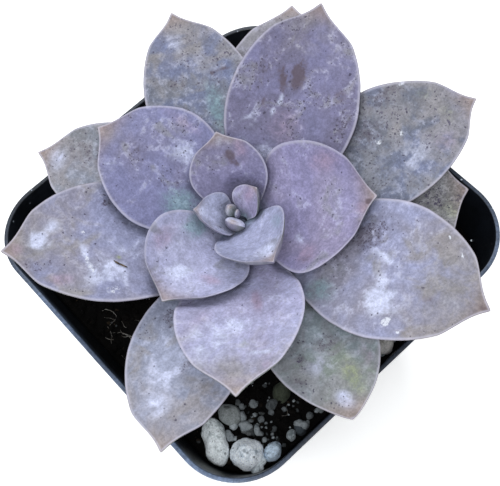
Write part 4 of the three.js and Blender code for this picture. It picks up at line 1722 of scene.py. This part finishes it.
LEAVES = (
    Leaf(
        1, 0, 4.2, 2, depth=1.5, lift=4, cup=0, crown=0.5, nip=0.2,
        finish=LeafFinish("a9adc4", "9aa0b4", specks=0.05),
    ),
    Leaf(
        2, 14, 4.8, 3.2, depth=2.8, lift=4, cup=0, crown=0.5, nip=0,
        finish=LeafFinish("9ba2a8", "8f989c", specks=0.05),
    ),
    Leaf(
        3, -14, 6.2, 5.2, depth=3.4, lift=8, cup=0.1, crown=0.5, nip=0.3,
        finish=LeafFinish("e6e9ff", "d6daf4", specks=0.05),
    ),
    Leaf(
        4, 26, 9.3, 9.4, lift=-4, twist=-14, sweep=-22, cup=0.4, nip=0.4,
        finish=LeafFinish("a59ebf", "9794b3", specks=0.1),
        patches=painted(blush=[(0.7, 0.2, 2.5, 2.0)]),
    ),
    Leaf(
        5, 10, 14, 11.5, twist=2, sweep=-8, cup=0.5, widest=0.47,
        finish=LeafFinish("bec2de", "acb0cb", specks=0.1),
        patches=painted(powder=[(0.85, 0.0, 2.5, 1.5)]),
    ),
    Leaf(
        6, -19, 26, 19, lift=3, twist=10, sweep=4, cup=0.45, neck=0.6, widest=0.5, heel=2.6,
        finish=LeafFinish("a9acca", "a0a5c4", weathered=0.1, specks=0.1),
        patches=painted(powder=[(0.8, 0.1, 3.0, 2.0)], teal=[(0.55, 0.7, 5.0, 2.0, 0, 0.6)]),
    ),
    Leaf(
        7, 16, 24, 20, lift=9, twist=-18, sweep=2, cup=0.1, point=0.62,
        finish=LeafFinish("8a86a8", "7d7999", specks=0.3),
        patches=painted(
            scar=[(0.72, -0.18, 2.2, 1.6), (0.64, -0.3, 1.2, 0.9, 0, 0.8)],
            blush=[(0.78, -0.6, 3.5, 2.0)],
            powder=[(0.92, 0.0, 2.5, 1.4, 0, 0.9)],
        ),
    ),
    Leaf(
        8, -4, 30.5, 26, lift=-10, twist=-8, sweep=20, cup=0.45, point=0.65,
        finish=LeafFinish("b6b7d8", "b0b1ce", weathered=0.1, specks=0.15),
        patches=painted(
            blush=[(0.6, -0.72, 4.0, 2.2), (0.62, 0.5, 2.0, 3.5)],
            powder=[(0.7, -0.1, 3.5, 3.0, 0, 0.8)],
            teal=[(0.3, -0.66, 4.0, 2.6, 0, 1.3)],
        ),
    ),
    Leaf(
        9, -1, 33.5, 32.5, lift=-5, twist=14, sweep=-6, cup=0.45, widest=0.46,
        finish=LeafFinish("9590b6", "9a93b2", weathered=0.1, specks=0.2),
        patches=painted(
            blush=[(0.68, 0.7, 4.0, 3.0), (0.45, -0.7, 3.5, 3.0), (0.9, -0.4, 2.5, 2.0)],
            scar=[(0.44, -0.78, 2.2, 1.0, 0, 0.7), (0.95, -0.5, 1.6, 0.9)],
            powder=[(0.4, -0.4, 2.2, 2.6, 0, 0.8)],
        ),
    ),
    Leaf(
        10, 5, 42.5, 33, lift=-1, twist=1, sweep=4,
        finish=LeafFinish("8687ae", "8482a2", weathered=0.15, specks=0.5),
        patches=painted(
            rubbed=[(0.92, 0.0, 4.0, 4.0, 0, 0.8)],
            powder=[(0.5, -0.4, 5.0, 4.0, 0, 0.6), (0.82, 0.65, 5.0, 2.5, 0, 0.5)],
            grime=[(0.72, 0.05, 3.5, 3.5, 0, 0.5), (0.5, 0.1, 6.0, 5.0, 0, 0.25)],
            teal=[(0.34, 0.38, 5.0, 4.5, 0, 1.4)],
            blush=[(0.6, -0.8, 7.0, 2.0, 0, 0.6)],
        ),
    ),
    Leaf(
        11, -10, 51.5, 30.5, lift=1, twist=3, point=0.65,
        finish=LeafFinish("b3b4d6", "a8a5c4", weathered=0.6, tip="a59690", specks=0.15),
        patches=painted(
            blush=[
                (0.48, 0.26, 3.8, 1.2, 10, 1.6), (0.87, 0.8, 4.0, 2.0, 0, 0.7),
                (0.6, -0.6, 6.0, 3.0, 0, 0.5),
            ],
            scar=[(0.49, 0.26, 2.0, 0.5, 10, 0.7)],
            powder=[(0.72, -0.5, 6.0, 4.5), (0.62, 0.0, 3.0, 5.0, 0, 0.8), (0.79, 0.4, 0.8, 4.0)],
            stain=[(0.73, 0.12, 1.8, 1.4, 0, 0.5)],
            rubbed=[(0.87, 0.0, 4.0, 9.0, 0, 0.9)],
        ),
    ),
    Leaf(
        12, 5, 58.5, 33.5, twist=12, sweep=12, widest=0.51, point=0.66,
        finish=LeafFinish("7e7ca0", "767290", specks=0.8),
        patches=painted(
            scar=[
                (0.63, 0.28, 3.6, 1.2, 20, 1.3), (0.66, 0.05, 4.2, 1.9, 0, 1.4), (0.5, 0.42, 1.8, 0.6, 15),
                (0.62, -0.68, 2.2, 1.8, 0, 0.7), (0.5, 0.1, 2.0, 1.4, 0, 0.5),
            ],
            powder=[
                (0.58, 0.16, 9.0, 0.4, 165, 1.4), (0.38, 0.6, 5.0, 3.0, 0, 0.7),
                (0.32, 0.2, 5.0, 4.0, 0, 0.5),
            ],
            grime=[
                (0.63, 0.6, 5.5, 3.4, 0, 0.6), (0.52, -0.8, 5.0, 2.0, 0, 0.6),
                (0.55, 0.0, 8.0, 7.0, 0, 0.3),
            ],
            rubbed=[(0.92, -0.1, 5.0, 5.0, 0, 0.8), (0.8, 0.1, 4.0, 7.0, 0, 0.45)],
            blush=[(0.43, 0.0, 6.0, 5.0, 0, 0.7)],
        ),
    ),
    Leaf(
        13, 2, 58.5, 33, lift=3, twist=1, sweep=-8, twig=Twig((0.56, 0.32), (0.51, 0.44)),
        finish=LeafFinish("9598b9", "918fa4", weathered=0.7, tip="8c7d77", specks=0.15),
        patches=painted(
            powder=[
                (0.59, 0.52, 5.4, 5.4), (0.66, 0.33, 1.0, 4.6, 12, 1.3), (0.5, 0.1, 6.0, 5.0, 0, 0.5),
                (0.85, -0.2, 3.0, 2.6), (0.8, -0.45, 3.0, 2.0, 0, 0.7),
            ],
            crust=[
                (0.66, 0.36, 0.6, 3.4, 14, 0.7), (0.58, 0.8, 2.2, 1.2, 0, 0.55),
                (0.66, -0.2, 0.8, 0.8, 0, 0.7),
            ],
            rubbed=[
                (0.86, -0.05, 5.0, 5.0), (0.62, -0.1, 5.0, 2.5, 0, 0.6), (0.93, 0.0, 4.0, 4.0),
                (0.74, 0.95, 8.0, 1.2),
            ],
            stain=[(0.54, 0.26, 0.8, 0.6)],
            blush=[(0.78, 0.7, 3.5, 1.8), (0.95, 0.0, 2.5, 2.0)],
            grime=[
                (0.54, -0.66, 3.0, 2.0, 0, 0.7), (0.46, -0.4, 4.0, 2.5, 0, 0.5),
                (0.86, 0.5, 6.0, 2.0, 0, 0.5),
            ],
        ),
    ),
    Leaf(
        14, 3, 62.5, 34.5, lift=-2, twist=8, sweep=-6, neck=0.12, widest=0.57,
        finish=LeafFinish("9c9fbf", "9391a3", wear=0.5, weathered=1.0, tip="857673", specks=0.2),
        patches=painted(
            grime=[(0.45, 0.45, 5.0, 4.0), (0.52, 0.6, 4.0, 3.0, 0, 0.6), (0.38, 0.1, 4.0, 5.0, 0, 0.3)],
            crust=[
                (0.67, -0.72, 1.5, 0.8, 60, 1.2), (0.73, -0.85, 0.4, 0.4), (0.83, 0.75, 0.4, 0.4),
                (0.76, 0.83, 0.4, 0.4),
            ],
            rubbed=[(0.83, 0.2, 9.0, 12.0), (0.66, -0.6, 2.4, 2.0, 0, 0.7), (0.68, 0.5, 6.0, 4.0, 0, 0.6)],
            powder=[
                (0.62, -0.35, 5.0, 6.0), (0.57, 0.16, 5.5, 0.8, -17, 0.9), (0.87, -0.2, 4.0, 2.0, 0, 0.6),
            ],
            teal=[(0.36, -0.7, 4.5, 3.5)],
            scar=[(0.79, -0.25, 3.0, 1.6, 0, 0.55), (0.98, 0.0, 2.0, 1.0, 0, 0.7)],
        ),
    ),
    Leaf(
        15, -3, 59.5, 29.5, twist=3, sweep=2,
        finish=LeafFinish("787f9f", "797d8c", wear=0.7, weathered=0.6, specks=0.6, grain=0.9),
        patches=painted(
            powder=[(0.84, 0.35, 3.0, 3.0), (0.74, 0.2, 3.0, 7.0, 0, 0.5)],
            rubbed=[(0.79, 0.2, 2.5, 12.0), (0.66, 0.5, 4.0, 4.0, 0, 0.8), (0.95, 0.0, 4.0, 4.0, 0, 0.8)],
            scar=[(0.66, -0.56, 0.7, 3.2, 0, 0.8), (0.66, -0.34, 0.7, 0.8, 0, 1.0)],
            teal=[(0.5, -0.2, 8.0, 2.6)],
            grime=[
                (0.61, -0.32, 3.0, 2.0, 0, 0.6), (0.66, 0.32, 2.4, 2.4, 0, 0.6),
                (0.75, 0.1, 4.0, 5.0, 0, 0.35),
            ],
        ),
    ),
    Leaf(
        16, 0, 60, 29, lift=1, twist=6, sweep=13, widest=0.57,
        finish=LeafFinish("a3a8c0", "959ab0", wear=0.5, weathered=0.7, tip="a0938f", specks=0.2),
        patches=painted(
            powder=[(0.68, -0.25, 6.0, 5.0), (0.82, -0.4, 4.0, 4.0, 0, 0.8)],
            rubbed=[(0.7, -0.8, 3.0, 2.0), (0.71, 0.1, 2.6, 3.0), (0.95, 0.0, 4.0, 4.0, 0, 0.6)],
            grime=[(0.45, -0.55, 2.6, 2.0), (0.63, 0.05, 3.5, 2.0, 0, 0.6)],
        ),
    ),
    Leaf(
        17, 2, 63, 31, lift=1, twist=10, sweep=-3, widest=0.57, point=0.73,
        finish=LeafFinish("7b829f", "707585", wear=0.8, weathered=0.5, specks=0.6, grain=0.9),
        patches=painted(
            # the second grime patch is partly painted shade: the shadow of leaf 12 across this blade, with
            # specks
            grime=[(0.68, 0.78, 5.0, 2.4, 0, 0.8), (0.55, 0.35, 6.0, 4.0, 0, 0.7)],
            crust=[
                (0.77, 0.95, 1.2, 0.5, 0, 0.9), (0.58, 0.13, 0.5, 0.5, 0, 1.2),
                (0.66, 0.05, 2.2, 0.25, 15, 1.0),
            ],
            rubbed=[(0.68, 0.2, 4.0, 1.2, 15), (0.86, 0.3, 5.0, 9.0, 0, 0.7)],
            stain=[(0.83, 0.66, 2.5, 2.0, 0, 0.5), (0.87, 0.0, 2.0, 3.0, 0, 0.5)],
            powder=[(0.66, -0.4, 5.0, 4.0, 0, 0.7)],
            blush=[(0.81, -0.56, 4.0, 3.0, 0, 0.6)],
        ),
    ),
    Leaf(
        18, -9, 54.5, 30.5, sweep=11,
        finish=LeafFinish("9095a5", "838891", wear=0.7, weathered=0.6, grain=0.9),
        patches=painted(
            grime=[(0.76, -0.2, 7.0, 5.0, 0, 0.5), (0.7, -0.3, 4.0, 6.0, 0, 0.6)],
            powder=[(0.9, 0.1, 3.0, 4.0, 0, 0.7)],
        ),
    ),
    Leaf(
        19, 4, 53, 28, twist=-4, sweep=-17, widest=0.58, nip=0.1,
        finish=LeafFinish("95a0aa", "8c968f", wear=0.8),
        patches=painted(
            stain=[(0.82, 0.35, 6.0, 2.6, 0, 0.9)],
            powder=[(0.91, 0.0, 2.6, 2.0, 20, 0.9), (0.72, -0.2, 4.0, 4.0, 0, 0.5)],
            grime=[
                (0.68, -0.44, 2.4, 1.4, 0, 0.8), (0.76, -0.75, 2.0, 1.0, 60, 0.9),
                (0.63, 0.1, 2.5, 3.0, 0, 0.7),
            ],
            blush=[(0.75, 0.7, 3.0, 2.0, 0, 0.7)],
        ),
    ),
    Leaf(20, -4, 62, 34, twist=-4, sweep=11, finish=LeafFinish("9795a2", "8a8892", wear=0.6)),
    Leaf(
        22, 16, 52, 42,
        finish=LeafFinish("a4a6ac", "9a9b95", wear=0.8, specks=1.0, grain=1.5),
        patches=painted(stain=[(0.9, -0.6, 4.0, 3.0, 0, 0.6)], grime=[(0.92, -0.4, 5.0, 2.0, 0, 0.5)]),
    ),
)


@dataclass
class Rosette:
    """The stem and its leaves."""

    crown: Crown
    soil_top: float
    root_depth: float = 14.0
    root_radius: float = 2.6
    bark_gap: float = 0.7  # from the crown's circle in to the stem's skin
    bud_leaves: int = 3
    ridge: float = 0.12  # height of the ridges that shed leaves left
    ridge_pitch: float = 1.7
    knobs: float = 0.25
    rings: int = 60
    columns: int = 64

    def build(self) -> list[bpy.types.Object]:
        """Builds the stem, then the leaves from the youngest to the oldest.

        Returns:
            The pieces.
        """
        canopy = Canopy()
        pieces = [self.stem()]
        pieces.extend(leaf.build(self.crown, canopy) for leaf in LEAVES)
        return pieces

    def stem(self) -> bpy.types.Object:
        """Builds the stem with the ridges that shed leaves left round it.

        Returns:
            The stem: rings whose middle and radius follow the crown's cone among the leaves and taper
            to the root below, with the radius raised by ridges an internode apart and by noise.
        """
        oldest = max(leaf.age for leaf in LEAVES)
        ages = np.linspace(oldest, self.bud_leaves, self.rings)
        middles = np.stack([self.crown.middle(age) for age in ages])
        radii = self.crown.circle(1.0) + self.crown.flare * (ages - 1.0) - self.bark_gap
        low = np.linspace(0.0, 1.0, self.rings)[:-1]
        start = np.array([0.0, 0.0, self.soil_top - self.root_depth])
        knots = np.array([0.0, 0.66, 1.0])
        foot = [self.root_radius, self.crown.circle(oldest), radii[0]]
        path = start + (middles[0] - start) * low[:, None]
        middles = np.concatenate([path, middles])
        radii = np.concatenate([np.interp(low, knots, foot), radii])
        angle = np.arange(self.columns) / self.columns * 2.0 * np.pi
        spoke = np.stack([np.cos(angle), np.sin(angle), np.zeros(self.columns)], axis=-1)
        rings = middles[:, None] + radii[:, None, None] * spoke
        phase = 2.0 * np.pi * rings[..., 2] / self.ridge_pitch + 1.5 * np.sin(angle)
        bark = self.ridge * np.sin(phase) + self.knobs * cloud(rings, 2.4, 91, 3)
        rings += spoke * bark[..., None]
        material = StemFinish().make()
        points = shut(rings)
        # painted shade: darkens the stem's top among the youngest leaves
        painted_top_shade = smoothstep(points[:, 2], self.crown.top - 7.0, self.crown.top - 3.0)
        stem = lay("stem_bark", points, skin_faces(*rings.shape[:2]), material, {"painted_top_shade": painted_top_shade})
        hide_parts("stem")
        return stem


# ---------------------------------------------------------------- studio


@dataclass(frozen=True)
class Softbox:
    """A square lamp that looks at the plant."""

    name: str
    azimuth: float  # 0 is on the side of -Y, 90 of +X
    elevation: float
    distance: float
    size: float
    power: float
    colour: Colour = (1.0, 1.0, 1.0)


@dataclass
class Studio:
    """Floor, light and camera."""

    target: tuple[float, float, float]
    azimuth: float = -31.08
    elevation: float = 65.48
    roll: float = -12.47
    distance: float = 254.25
    lens: float = 72.0
    glow: float = 0.5  # light that the floor gives out, as a light table does
    floor_half: float = 3000.0
    floor_drop: float = 0.2  # of the floor below the pot's foot
    sky: Colour = (0.96, 0.98, 1.0)
    sky_strength: float = 0.38
    boxes: tuple[Softbox, ...] = (
        Softbox("back", 150.0, 46.0, 700.0, 480.0, 2.1, (0.95, 0.97, 1.0)),
        Softbox("left", 250.0, 35.0, 600.0, 420.0, 0.7, (0.9, 0.95, 1.0)),
        Softbox("front", -48.0, 67.0, 700.0, 300.0, 2.6, (0.95, 0.98, 1.0)),
    )

    def direction(self, azimuth: float, elevation: float) -> Vector:
        """Unit vector from the plant towards a place in the studio."""
        a, e = math.radians(azimuth), math.radians(elevation)
        return Vector((math.sin(a) * math.cos(e), -math.cos(a) * math.cos(e), math.sin(e)))

    def build(self) -> None:
        """Builds the floor, the lights and the camera."""
        self.floor()
        self.lights()
        self.camera()

    def floor(self) -> None:
        """Lays a pale floor under the pot."""
        r = Recipe("studio_floor")
        pale = r.mix(r.ease(r.noise(60.0, 2.0), 0.3, 0.7), shade("f4f4f4"), shade("f8f8f8"))
        material = r.finish(Base_Color=pale, Roughness=0.9, Emission_Color=pale, Emission_Strength=self.glow)
        side, low = self.floor_half, -self.floor_drop
        corner = np.array([[-side, -side, low], [side, -side, low], [side, side, low], [-side, side, low]])
        mesh = bpy.data.meshes.new("studio_floor")
        mesh.from_pydata((corner * MM).tolist(), [], [(0, 1, 2, 3)])
        mesh.materials.append(material)
        floor = bpy.data.objects.new("studio_floor", mesh)
        bpy.context.collection.objects.link(floor)

    def lights(self) -> None:
        """Hangs the softboxes and sets an even pale sky."""
        world = bpy.data.worlds.new("studio_sky")
        bpy.context.scene.world = world
        world.use_nodes = True
        background = world.node_tree.nodes["Background"]
        background.inputs["Color"].default_value = (*self.sky, 1.0)
        background.inputs["Strength"].default_value = self.sky_strength
        for box in self.boxes:
            lamp = bpy.data.lights.new(box.name, "AREA")
            lamp.size = box.size * MM
            lamp.energy = box.power
            lamp.color = box.colour
            holder = bpy.data.objects.new(box.name, lamp)
            towards = self.direction(box.azimuth, box.elevation)
            holder.location = Vector(self.target) * MM + towards * box.distance * MM
            holder.rotation_euler = towards.to_track_quat("Z", "Y").to_euler()
            bpy.context.collection.objects.link(holder)
        bpy.context.scene.view_settings.view_transform = "Standard"

    def camera(self) -> None:
        """Sets up the camera, turned about its own axis by the roll."""
        back = self.direction(self.azimuth, self.elevation)
        azimuth = math.radians(self.azimuth)
        right = Vector((math.cos(azimuth), math.sin(azimuth), 0.0))
        up = back.cross(right)
        roll = math.radians(self.roll)
        across = right * math.cos(roll) + up * math.sin(roll)
        upright = up * math.cos(roll) - right * math.sin(roll)
        lens = bpy.data.cameras.new("studio_camera")
        lens.lens = self.lens
        lens.clip_start = 0.01
        lens.clip_end = 10.0
        camera = bpy.data.objects.new("studio_camera", lens)
        place = (Vector(self.target) + back * self.distance) * MM
        basis = Matrix((across, upright, back)).transposed().to_4x4()
        camera.matrix_world = Matrix.Translation(place) @ basis
        bpy.context.collection.objects.link(camera)
        bpy.context.scene.camera = camera


# ---------------------------------------------------------------- the whole


def main() -> None:
    """Loads the frame, builds the pot, soil, stones, rosette and studio, and notes the sizes."""
    logging.basicConfig(level=logging.INFO, format="%(name)s %(message)s", stream=sys.stdout)
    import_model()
    _, pot_high = (np.array(corner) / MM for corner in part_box("pot"))
    soil_low, soil_high = (np.array(corner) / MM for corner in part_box("soil"))
    rim = float(pot_high[2])
    pot = Pot(height=rim, rim_half=float(pot_high[0]))
    pot.build()
    half = float(soil_high[0])
    soil = Soil(
        top=rim - SOIL_DROP,
        half=half,
        corner=pot.corner / pot.rim_half * half,
        floor=float(soil_low[2]),
        floor_half=float(pot.wall_half(soil_low[2])) - pot.wall - GAP,
    )
    soil.build()
    for stone in STONES:
        stone.build()
    Rosette(Crown(top=rim + STEM_RISE), soil.top).build()
    Studio(target=(-1.53, -3.13, rim)).build()


if __name__ == "__main__":
    main()
